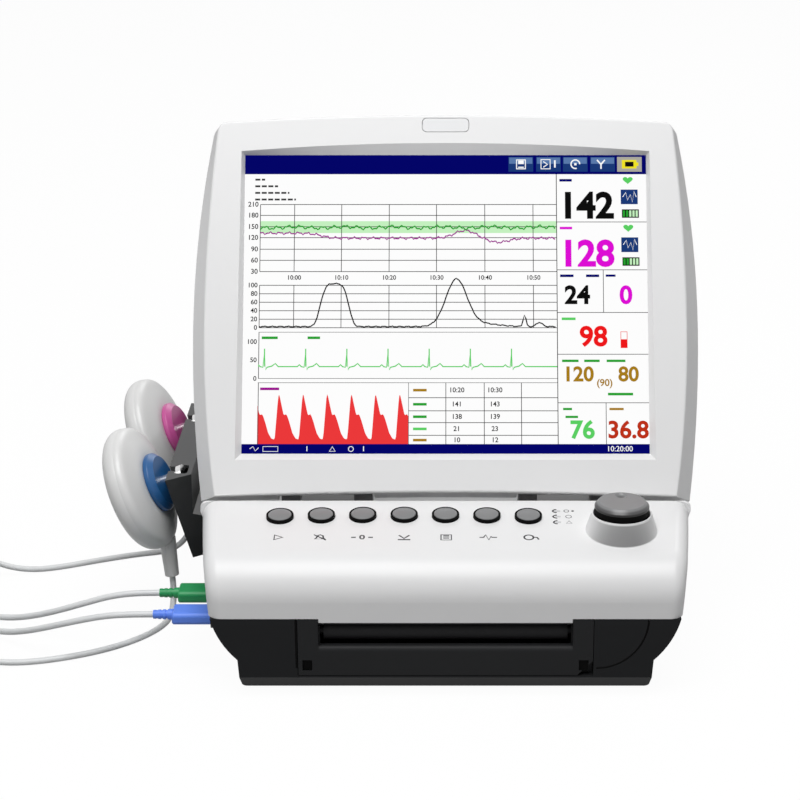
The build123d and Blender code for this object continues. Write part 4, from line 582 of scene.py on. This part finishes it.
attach(panel_signs, "base")


# Base's front seams: a black line of painted shade in the curved groove at the right of the
# drawer, and one in the seam along the drawer's left end. Both lie in the front face.
SEAM_SHADE_WIDTH = 1.1
CURVE_X, CURVE_Z = 86.6, 47.6
CURVE_RADII = (29.4, 30.6)
FRONT_WALL = Matrix.Translation((0, -171.98 * MM, 0)) @ Matrix.Rotation(math.radians(90), 4, "X")
curve_line = [
    (
        CURVE_X + CURVE_RADII[0] * math.cos(math.radians(angle)),
        CURVE_Z - CURVE_RADII[1] * math.sin(math.radians(angle)),
    )
    for angle in range(0, 91, 6)
]
# Painted shade: black lines stand in for the shade in the seams.
straight_seam_shade = bar(-86.1, 17.0, -85.05, 47.8)
base_seam_shade = joined("base_seam_shade", [stroke(curve_line, SEAM_SHADE_WIDTH), straight_seam_shade])
base_seam_shade.data.transform(FRONT_WALL)
base_seam_shade.data.materials.clear()
base_seam_shade.data.materials.append(black_rubber_and_painted_shade.material)
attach(base_seam_shade, "base")


# Knob: a satin grey cap with a finger dimple near its rear, on a black skirt in the white
# boss. Painted shade darkens the cap down its sloped edge, to black at its foot. Its shaft is
# steel.
KNOB_TOP_BLEND = (100.6 * MM, 101.9 * MM)
KNOB_LOW_BLEND = (99.2 * MM, 100.5 * MM)
KNOB_SHADE_BLACK = rgb(0.006, 0.006, 0.006)
knob_grey = Finish("knob_grey", roughness=0.32)
knob_height = knob_grey.node("ShaderNodeSeparateXYZ", {}, {0: knob_grey.place()}, 2)
knob_grain = knob_grey.noise(0.35 * MM, 3.0)
knob_top = knob_grey.colours(knob_grain, rgb(0.2, 0.202, 0.205), rgb(0.22, 0.222, 0.225))
# Painted shade: the cap's side is darker than its top, and black at its foot.
knob_side_shade = knob_grey.colours(knob_grain, rgb(0.055, 0.055, 0.057), rgb(0.065, 0.065, 0.067))
knob_edge_shade = knob_grey.colours(knob_height.between(*KNOB_LOW_BLEND), KNOB_SHADE_BLACK, knob_side_shade)
knob_all = knob_grey.colours(knob_height.between(*KNOB_TOP_BLEND), knob_edge_shade, knob_top)
knob_grey.put("Base Color", knob_all)
knob_grey.bump(knob_grain, 0.01 * MM)
dress(knob_grey, "control_knob")
dress(steel, "encoder_shaft")


# Display fittings: a milky alarm lamp in the top, the sheet-metal chassis with its hinge arms,
# the cheeks on the deck, and steel pins.
milky = moulded("milky_lens", (0.74, 0.745, 0.755), 0.02, 0.3, 0.5 * MM, 0.004 * MM)
dress(milky, "alarm_lamp")
hinge_grey = moulded("hinge_grey", (0.2, 0.2, 0.205), 0.03, 0.5)
dress(hinge_grey, "display_chassis", "hinge_brackets")
dress(steel, "hinge_pins")


# Screen: a 12.1 inch panel behind a matt front, with a lit page of traces on the left and
# readings on the right. The readings are plain numbers, and short bars label them.
SCREEN_CENTRE = Vector((0, -37.55, 195.87)) * MM
SCREEN_TURN = math.radians(90 - 27.5)
SCREEN_PLACE = Matrix.Translation(SCREEN_CENTRE) @ Matrix.Rotation(SCREEN_TURN, 4, "X")
SCREEN_DEPTH = -3.9
LAYER = 0.03
RULE = 0.22
UNLIT = rgb(0.0005, 0.0005, 0.0005)
panel_glass = moulded("panel_glass", (0.03, 0.03, 0.035), 0.01, 0.3)
dress(panel_glass, "lcd_panel")


def light(name, colour, strength=1.0):
    """A lit colour of the picture behind the panel's matt front."""
    made = Finish(name, roughness=0.5, base_color=UNLIT, emission_color=rgb(*colour))
    made.put("Emission Strength", strength)
    made.put("Specular IOR Level", 0.0)
    return made.material


page_white = light("picture_white", (1, 1, 1), 0.98)
navy = light("picture_navy", (0.0005, 0.001, 0.136))
black = light("picture_black", (0.004, 0.004, 0.004))
grid_grey = light("picture_grid", (0.045, 0.045, 0.045))
pale_green = light("picture_pale_green", (0.55, 0.87, 0.52))
trace_green = light("picture_green", (0.02, 0.35, 0.03))
light_green = light("picture_light_green", (0.1, 0.62, 0.12))
magenta = light("picture_magenta", (0.72, 0.004, 0.66))
purple = light("picture_purple", (0.33, 0.006, 0.28))
red = light("picture_red", (0.85, 0.008, 0.01))
rose = light("picture_rose", (0.83, 0.04, 0.042))
gold = light("picture_gold", (0.38, 0.2, 0.01))
brick = light("picture_brick", (0.5, 0.03, 0.008))
button_blue = light("picture_button", (0.01, 0.04, 0.18))
button_sheen = light("picture_button_sheen", (0.1, 0.19, 0.4))
yellow = light("picture_yellow", (0.85, 0.75, 0.02))
button_grey = light("picture_button_grey", (0.4, 0.39, 0.34))
picture = []


def lit(material, *pieces):
    """Adds pieces of one colour to the picture."""
    for piece in pieces:
        piece.data.materials.clear()
        piece.data.materials.append(material)
        picture.append(piece)


def flat(x0, y0, x1, y1, layer):
    """A bar of the picture. A higher layer lies over a lower one."""
    return bar(x0, y0, x1, y1, layer * LAYER, LAYER * MM)


def trace(points, width, layer, closed=False):
    """A line of the picture through points in millimetres."""
    return stroke(points, width, layer * LAYER, closed, LAYER * MM)


def filled(points, layer):
    """A flat filled outline through points in millimetres."""
    bpy.ops.mesh.primitive_circle_add(vertices=len(points), fill_type="NGON")
    made = bpy.context.object
    for vertex, (x, y) in zip(made.data.vertices, points):
        vertex.co = (x * MM, y * MM, (layer + 1) * LAYER * MM)
    return made


def arc(x, y, radius, steps):
    """Points round a centre, a third of a radian apart."""
    return [(x + radius * math.cos(a / 3), y + radius * math.sin(a / 3)) for a in range(steps)]


def rule_across(y, left, right):
    lit(grid_grey, flat(left, y - RULE, right, y + RULE, 2))


def rule_up(x, low, high):
    lit(grid_grey, flat(x - RULE, low, x + RULE, high, 2))


# The page with a navy bar at its top and foot, and buttons with signs in the top bar.
PAGE_X, PAGE_Y = 123, 92.25
HEAD_Y, FOOT_Y = 80.2, -86.4
BUTTON_LEFT = (38.6, 55.6, 72.0, 88.8)
BUTTON_LOW, BUTTON_HIGH = 81.8, 91.1
BUTTON_WIDTH = 15.2
FOOT_SIGN_Y = -89.4
FOOT_FIGURE = 4.2
lit(page_white, flat(-PAGE_X, -PAGE_Y, PAGE_X, PAGE_Y, 0))
lit(navy, flat(-PAGE_X, HEAD_Y, PAGE_X, PAGE_Y, 1), flat(-PAGE_X, -PAGE_Y, PAGE_X, FOOT_Y, 1))
for x in BUTTON_LEFT:
    lit(button_blue, flat(x, BUTTON_LOW, x + BUTTON_WIDTH, BUTTON_HIGH, 2))
    lit(button_sheen, flat(x + 0.5, 86.8, x + 14.7, 90.7, 3))
lit(button_grey, flat(105.3, BUTTON_LOW, 120.4, BUTTON_HIGH, 2))
lit(yellow, flat(108.2, 83.8, 117.2, 89.2, 3), flat(117.2, 85.4, 118.4, 87.6, 3))
lit(black, flat(110.2, 85, 115.4, 88, 4))
lit(
    page_white,
    # A disk, a page with a pointer, a turning arrow and a fork.
    trace([(43.6, 83.6), (49, 83.6), (49, 89.2), (43.6, 89.2)], 0.8, 4, True),
    flat(44.6, 86.6, 48, 88.8, 4),
    flat(44.6, 84.2, 48, 84.9, 4),
    trace([(58.6, 83.6), (64.2, 83.6), (64.2, 89.4), (58.6, 89.4)], 0.7, 4, True),
    trace([(60, 84.6), (62.6, 86.4), (60, 88.2)], 0.7, 4),
    flat(66.6, 84.4, 67.6, 89, 4),
    trace(arc(79.7, 86.5, 2.7, 16), 0.8, 4),
    flat(79, 85.8, 80.4, 87.2, 4),
    trace([(93, 89.2), (95.4, 86.4), (95.4, 83.6)], 0.9, 4),
    trace([(97.8, 89.2), (95.4, 86.4)], 0.9, 4),
    # Signs and the clock in the foot bar.
    trace([(-118, -89.3), (-116, -87.9), (-114.6, -90.6), (-112.6, -88.6)], 0.4, 2),
    trace([(-110, -90.9), (-101, -90.9), (-101, -87.9), (-110, -87.9)], 0.4, 2, True),
    trace([(-70, -90.8), (-68.2, -88), (-66.4, -90.8)], 0.5, 2, True),
    trace(arc(-57, FOOT_SIGN_Y, 1.5, 20), 0.4, 2),
    figures("1", -83.5, FOOT_SIGN_Y, FOOT_FIGURE, 2 * LAYER, 0.05),
    figures("1", -49.4, FOOT_SIGN_Y, FOOT_FIGURE, 2 * LAYER, 0.05),
    figures("10:20:00", 105, FOOT_SIGN_Y, 4.6, 2 * LAYER, 0.02),
)

# The heading's four lines, each a row of bars.
HEADING_LEFT, HEADING_TOP = -116.6, 76.8
HEADING_PITCH = 4.15
WORD, WORD_PITCH = 3.1, 4
for row, run in enumerate((6, 14, 21, 25)):
    y = HEADING_TOP - row * HEADING_PITCH
    for x in range(0, run, WORD_PITCH):
        end = HEADING_LEFT + min(x + WORD, run)
        lit(grid_grey, flat(HEADING_LEFT + x, y - 0.6, end, y + 0.6, 1))

# Two charts over one time scale, with their scales at the left: heart rate and pressure.
CHART_LEFT, CHART_RIGHT = -113.2, 67.8
SCALE_X = -114.4
SCALE_FIGURE = 4.1
FIGURE_BOLD = 0.07
RATE_ROWS = (61.2, 54.4, 47.3, 40.5, 33.3, 26.4, 19.4)
PRESSURE_ROWS = [10.9 - 5.24 * row for row in range(6)]
TIME_COLUMNS = (-92.3, -63.5, -34.4, -5.5, 24.0, 53.5)
TIME_Y = 15.6
lit(pale_green, flat(CHART_LEFT, 43.4, CHART_RIGHT, 50.8, 1))
for row, y in enumerate(RATE_ROWS):
    rule_across(y, CHART_LEFT, CHART_RIGHT)
    lit(black, figures(str(210 - 30 * row), SCALE_X, y, 4.3, LAYER, FIGURE_BOLD, "RIGHT"))
for row, y in enumerate(PRESSURE_ROWS):
    rule_across(y, CHART_LEFT, CHART_RIGHT)
    text = str(100 - 20 * row)
    lit(black, figures(text, SCALE_X, y, SCALE_FIGURE, LAYER, FIGURE_BOLD, "RIGHT"))
for index, x in enumerate(TIME_COLUMNS):
    rule_up(x, RATE_ROWS[-1], RATE_ROWS[0])
    rule_up(x, PRESSURE_ROWS[-1], PRESSURE_ROWS[0])
    lit(black, figures(f"10:{index}0", x, TIME_Y, 3.9, LAYER, FIGURE_BOLD))
rule_up(CHART_LEFT, RATE_ROWS[-1], RATE_ROWS[0])
rule_up(CHART_LEFT, PRESSURE_ROWS[-1], PRESSURE_ROWS[0])
CHART_STEPS = [CHART_LEFT + 0.9 * index for index in range(201)]


def wobble(x, *waves):
    """The sum of waves at x, each given by its height, its pace and its start."""
    return sum(height * math.sin(x * pace + start) for height, pace, start in waves)


def first_rate(x):
    """The first rate keeps to the middle of the green band."""
    return 46.9 + wobble(x, (0.8, 0.9, 0), (0.5, 2.3, 1), (0.4, 0.21, 2))


def second_rate(x):
    """The second rate falls after a third of the page, and dips once more near its end."""
    fall = 1 / (1 + math.exp((x + 76) / 3))
    rise = math.exp(-((x - 12) / 9) ** 2)
    dip = math.exp(-((x - 32) / 9) ** 2)
    wave = wobble(x, (0.5, 1.1, 0), (0.45, 2.7, 1))
    return 40.2 + 3.1 * fall + 4.8 * rise - 2.6 * dip + wave


def pressure(x):
    """Two broad contractions and a few small ones."""
    plateau = math.exp(-((x + 67.5) / 9.5) ** 4)
    peak = math.exp(-((x - 6.6) / 9) ** 2)
    small = 0.28 * math.exp(-((x - 48) / 1.2) ** 2) + 0.1 * math.exp(-((x - 57) / 2.5) ** 2)
    tail = 0.07 * math.exp(-((x - 22) / 14) ** 2)
    wave = wobble(x, (0.22, 1.3, 0), (0.15, 3.1, 1))
    return -14.6 + 26.5 * plateau + 29.0 * peak + 26 * (small + tail) + wave


lit(trace_green, trace([(x, first_rate(x)) for x in CHART_STEPS], 0.85, 4))
lit(purple, trace([(x, second_rate(x)) for x in CHART_STEPS], 0.8, 3))
lit(black, trace([(x, pressure(x)) for x in CHART_STEPS], 0.8, 4))

# Heart trace in its frame: each beat is given by points beside its spike.
FRAME_TOP = -17.9
FRAME_LOW = -46.6
HEART_REST = -39.2
BEAT_PITCH = 24.95
BEAT_FORM = (
    (-5, HEART_REST), (-3.8, -38.0), (-2.6, HEART_REST), (-0.9, -39.6), (0, -28.6),
    (0.8, -41.2), (1.6, -39.6), (4.5, -38.9), (6.6, -37.3), (8.4, HEART_REST),
)
lit(grid_grey, flat(CHART_LEFT, -18.2, CHART_RIGHT, FRAME_TOP, 1))
lit(grid_grey, flat(CHART_LEFT, FRAME_LOW, CHART_RIGHT, -46.3, 1))
rule_up(CHART_LEFT, FRAME_LOW, FRAME_TOP)
lit(trace_green, flat(-111.5, -22.3, -101.8, -20.7, 2), flat(-83.7, -22.3, -76.1, -20.7, 2))
for y, text in ((-24.0, "100"), (-35.2, "50"), (FRAME_LOW, "0")):
    lit(black, figures(text, SCALE_X, y, SCALE_FIGURE, LAYER, FIGURE_BOLD, "RIGHT"))
heart = [(CHART_LEFT, HEART_REST)]
for index in range(7):
    x = -109.7 + BEAT_PITCH * index
    lit(light_green, flat(x - 0.35, HEART_REST, x + 0.35, -28.2, 3))
    heart += [(max(x + beside, CHART_LEFT), y) for beside, y in BEAT_FORM]
heart = [point for point in heart if point[0] <= CHART_RIGHT] + [(CHART_RIGHT, HEART_REST)]
lit(light_green, trace(heart, 0.75, 3))

# Pulse wave, filled down to the foot bar. Its form gives the height at each share of a beat.
PULSE_LEFT, PULSE_RIGHT = -113.6, -22.3
PULSE_TOP = -48.9
PULSE_PITCH = 14.6
PULSE_START = 0.3
PULSE_COLUMNS = 180
PULSE_FORM = (
    (0.0, 2.8), (0.03, 4.0), (0.15, 28.0), (0.18, 30.4), (0.21, 29.6), (0.26, 26.2), (0.38, 18.2),
    (0.42, 17.6), (0.49, 18.2), (0.54, 17.0), (0.62, 13.6), (0.76, 6.6), (0.89, 3.4), (1.0, 2.8),
)


def pulse_height(share):
    """Height of one beat: a steep rise, a shoulder on the way down, and a rest."""
    for (start, low), (end, high) in zip(PULSE_FORM, PULSE_FORM[1:]):
        if share <= end:
            return low + (high - low) * (share - start) / (end - start)
    return PULSE_FORM[-1][1]


bpy.ops.mesh.primitive_grid_add(
    x_subdivisions=PULSE_COLUMNS, y_subdivisions=1, size=1, location=(0, 0, 0)
)
pulse = bpy.context.object
for vertex in pulse.data.vertices:
    x = PULSE_LEFT + (vertex.co.x + 0.5) * (PULSE_RIGHT - PULSE_LEFT)
    top = FOOT_Y + pulse_height(((x - PULSE_LEFT) / PULSE_PITCH + PULSE_START) % 1)
    vertex.co = (x * MM, (top if vertex.co.y > 0 else FOOT_Y) * MM, 2 * LAYER * MM)
lit(rose, pulse)
lit(purple, flat(-112.1, -53.6, -100.6, -52.0, 3))
rule_up(CHART_LEFT, FOOT_Y, PULSE_TOP)
lit(grid_grey, flat(PULSE_LEFT, -49.2, CHART_RIGHT, PULSE_TOP, 1))
lit(grid_grey, flat(-22.5, FOOT_Y, -22.2, PULSE_TOP, 3))

# Table of earlier readings: the height of a row, its two readings, and its label's colour.
TABLE_FIGURE = 4.2
TABLE_ROWS = (
    (-53.6, "10:20", "10:30", gold),
    (-62.2, "141", "143", trace_green),
    (-69.8, "138", "139", trace_green),
    (-77.2, "21", "23", light_green),
    (-84, "10", "12", gold),
)
for y in (-58.2, -66.2, -73.4, -81.1):
    rule_across(y, PULSE_RIGHT, CHART_RIGHT)
for x in (0.2, 23.4, 45.9):
    rule_up(x, FOOT_Y, -49.2)
for y, left, right, tint in TABLE_ROWS:
    lit(black, figures(left, 6.8, y, TABLE_FIGURE, LAYER, FIGURE_BOLD))
    lit(black, figures(right, 29.8, y, TABLE_FIGURE, LAYER, FIGURE_BOLD))
    lit(tint, flat(-19.6, y - 0.8, -11.4, y + 0.8, 2))

# Readings at the right: colour, text, middle, height and weight of each.
READ_X = 67.9
READINGS = (
    (black, "142", 86.2, 59.8, 22.5, 0.75), (magenta, "128", 86.2, 29.9, 22.5, 0.75),
    (black, "24", 80.2, 4.4, 15.5, 0.5), (magenta, "0", 109.8, 4.4, 15.5, 0.5),
    (red, "98", 89.8, -21.2, 17.0, 0.5), (gold, "120", 80.4, -44.2, 12.5, 0.35),
    (gold, "(90)", 96.3, -49.2, 6.0, 0.12), (gold, "80", 110.8, -44.2, 12.5, 0.35),
    (light_green, "76", 82.6, -78.2, 15.0, 0.45), (brick, "36.8", 110.2, -78.2, 14.5, 0.4),
)
lit(grid_grey, flat(READ_X - 0.25, FOOT_Y, READ_X + 0.25, HEAD_Y, 3))
for y in (50.3, 20.5, -5.9, -31.6, -61.3):
    lit(grid_grey, flat(READ_X, y - 0.2, PAGE_X, y + 0.2, 2))
lit(grid_grey, flat(95.9, -5.9, 96.3, 20.5, 2), flat(96.8, FOOT_Y, 97.2, -61.3, 2))
for ink, text, x, y, size, bold in READINGS:
    lit(ink, figures(text, x, y, size, 2 * LAYER, bold))

# Both heart rates have a heart, a sign of a wave, and five bars for the signal's strength.
RATE_DROP = -29.9
WAVE = (
    (108.5, 66), (110.4, 68.8), (111.4, 64), (113.2, 67.4), (114.4, 62.8), (115.4, 69.4),
    (116.8, 66),
)


def heart_outline(x, y):
    """A heart about its middle, 6.2 mm wide."""
    angles = [math.tau * index / 24 for index in range(24)]
    heights = [
        10.5 * math.cos(a) - 4 * math.cos(2 * a) - 1.6 * math.cos(3 * a) - 0.6 * math.cos(4 * a)
        for a in angles
    ]
    return [(x - 3.1 * math.sin(a) ** 3, y + 0.2 * h) for a, h in zip(angles, heights)]


for y, ink in ((0, navy), (RATE_DROP, magenta)):
    lit(ink, flat(69.8, 75.6 + y, 77.4, 77.2 + y, 2))
    lit(light_green, filled(heart_outline(111.7, 76.6 + y), 2))
    lit(button_blue, flat(107.3, 61.4 + y, 117.7, 70.6 + y, 2))
    lit(page_white, trace([(x, v + y) for x, v in WAVE], 0.5, 3))
    lit(black, flat(107.9, 52.9 + y, 118.3, 58.2 + y, 2))
    for index in range(5):
        shade = trace_green if index < 2 else pale_green
        lit(shade, flat(108.5 + index * 1.95, 53.6 + y, 109.8 + index * 1.95, 57.5 + y, 3))

# Bars that label the other readings, and the column beside the oxygen reading.
for ink, x0, y0, x1, y1 in (
    (navy, 69.8, 16, 78, 17.6), (navy, 85.6, 16, 93.6, 17.6), (navy, 97.6, 16.2, 103.6, 17.6),
    (light_green, 70.6, -10.6, 79, -9),
    (trace_green, 70.6, -36.4, 80.6, -34.9), (trace_green, 84, -36.4, 93.4, -34.9),
    (trace_green, 97.6, -36.4, 109, -34.9), (trace_green, 98.2, -56.8, 113.4, -55.2),
    (trace_green, 71, -65.8, 76.4, -64.4), (trace_green, 72.4, -70.6, 80, -69.2),
    (gold, 99, -65.8, 107.6, -64.4),
):
    lit(ink, flat(x0, y0, x1, y1, 2))
COLUMN = ((106.4, -27.6), (110.2, -27.6), (110.2, -17.8), (106.4, -17.8))
lit(red, trace(COLUMN, 0.5, 2, True), flat(106.4, -27.6, 110.2, -22.4, 2))

screen_picture = joined("screen_picture", picture)
screen_picture.data.transform(Matrix.Translation((0, 0, SCREEN_DEPTH * MM)))
screen_picture.data.transform(SCREEN_PLACE)
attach(screen_picture, "display")


# Rear fittings: four crossed screws in the display's back cover, their cross slots black bars
# of painted shade, and a bare rating plate on the base's rear wall.
COVER_Z = -40.0
SCREW_RADIUS, SCREW_RISE = 3.4, 0.6
SLOT_REACH, SLOT_HALF, SLOT_RISE = 2.2, 0.4, 0.05
screw_pieces = []
for x in (-112, 112):
    for y in (88, -30):
        bpy.ops.mesh.primitive_cylinder_add(
            vertices=32, radius=SCREW_RADIUS * MM, depth=2 * SCREW_RISE * MM,
            location=(x * MM, y * MM, COVER_Z * MM),
        )
        head = bpy.context.object
        bpy.ops.object.transform_apply(location=True, rotation=True, scale=True)
        head.data.materials.append(steel.material)
        slot_z = COVER_Z - SCREW_RISE - SLOT_RISE
        # Painted shade: black bars stand in for the shade in the cross slots.
        slots = [
            bar(x - SLOT_REACH, y - SLOT_HALF, x + SLOT_REACH, y + SLOT_HALF, slot_z),
            bar(x - SLOT_HALF, y - SLOT_REACH, x + SLOT_HALF, y + SLOT_REACH, slot_z),
        ]
        for piece in slots:
            piece.data.materials.append(black_rubber_and_painted_shade.material)
        screw_pieces += [head, *slots]
display_screws = joined("display_screws", screw_pieces)
display_screws.data.transform(SCREEN_PLACE)
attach(display_screws, "display")

PLATE_THICK = 0.2 * MM
REAR_WALL = Matrix.Translation((0, 172.0 * MM, 0)) @ Matrix.Rotation(math.radians(-90), 4, "X")
plate_silver = moulded("plate_silver", (0.42, 0.43, 0.44), 0.03, 0.35)
rating_plate = bar(-62, -40, 18, -14, thick=PLATE_THICK)
rating_plate.name = "rating_plate"
rating_plate.data.transform(REAR_WALL)
rating_plate.data.materials.append(plate_silver.material)
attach(rating_plate, "base")


# Sockets and plugs: two flat moulded plugs, green behind and blue in front, in dark sockets
# in the base's left side.
plug_blue = moulded("plug_blue", (0.1, 0.24, 0.86), 0.03, 0.45)
plug_green = moulded("plug_green", (0.004, 0.27, 0.075), 0.01, 0.45)
dress(plug_blue, "blue_plug")
dress(plug_green, "green_plug")


# Rack: one moulding of dark grey plastic on the housing's left side, with two slots in its
# top from which the transducers hang.
rack_grey = moulded("rack_grey", (0.024, 0.025, 0.026), 0.008, 0.45, specular_ior_level=0.35)
dress(rack_grey, "transducer_rack")


# Transducers: two sealed discs of white moulded plastic. They hang on the rack by the chromed
# buttons in their coloured caps, and each lead leaves its disc through a boot.
disc_white = moulded("disc_white", (0.7, 0.7, 0.695), 0.03, 0.3, 0.5 * MM, 0.006 * MM)
cap_blue = moulded("cap_blue", (0.003, 0.085, 0.26), 0.015, 0.35)
cap_pink = moulded("cap_pink", (0.55, 0.07, 0.3), 0.05, 0.32)
button_chrome = Finish("button_chrome", metallic=1.0)
chrome_cloud = button_chrome.noise(2 * MM)
button_chrome.put(
    "Base Color",
    button_chrome.colours(chrome_cloud, rgb(0.62, 0.62, 0.62), rgb(0.75, 0.75, 0.75)),
)
button_chrome.put("Roughness", 0.12 + button_chrome.noise(1 * MM) * 0.1)
for which, cap in (("front", cap_blue), ("rear", cap_pink)):
    dress(disc_white, f"{which}_transducer_body", f"{which}_transducer_boot")
    dress(cap, f"{which}_transducer_cap")
    dress(button_chrome, f"{which}_transducer_button")
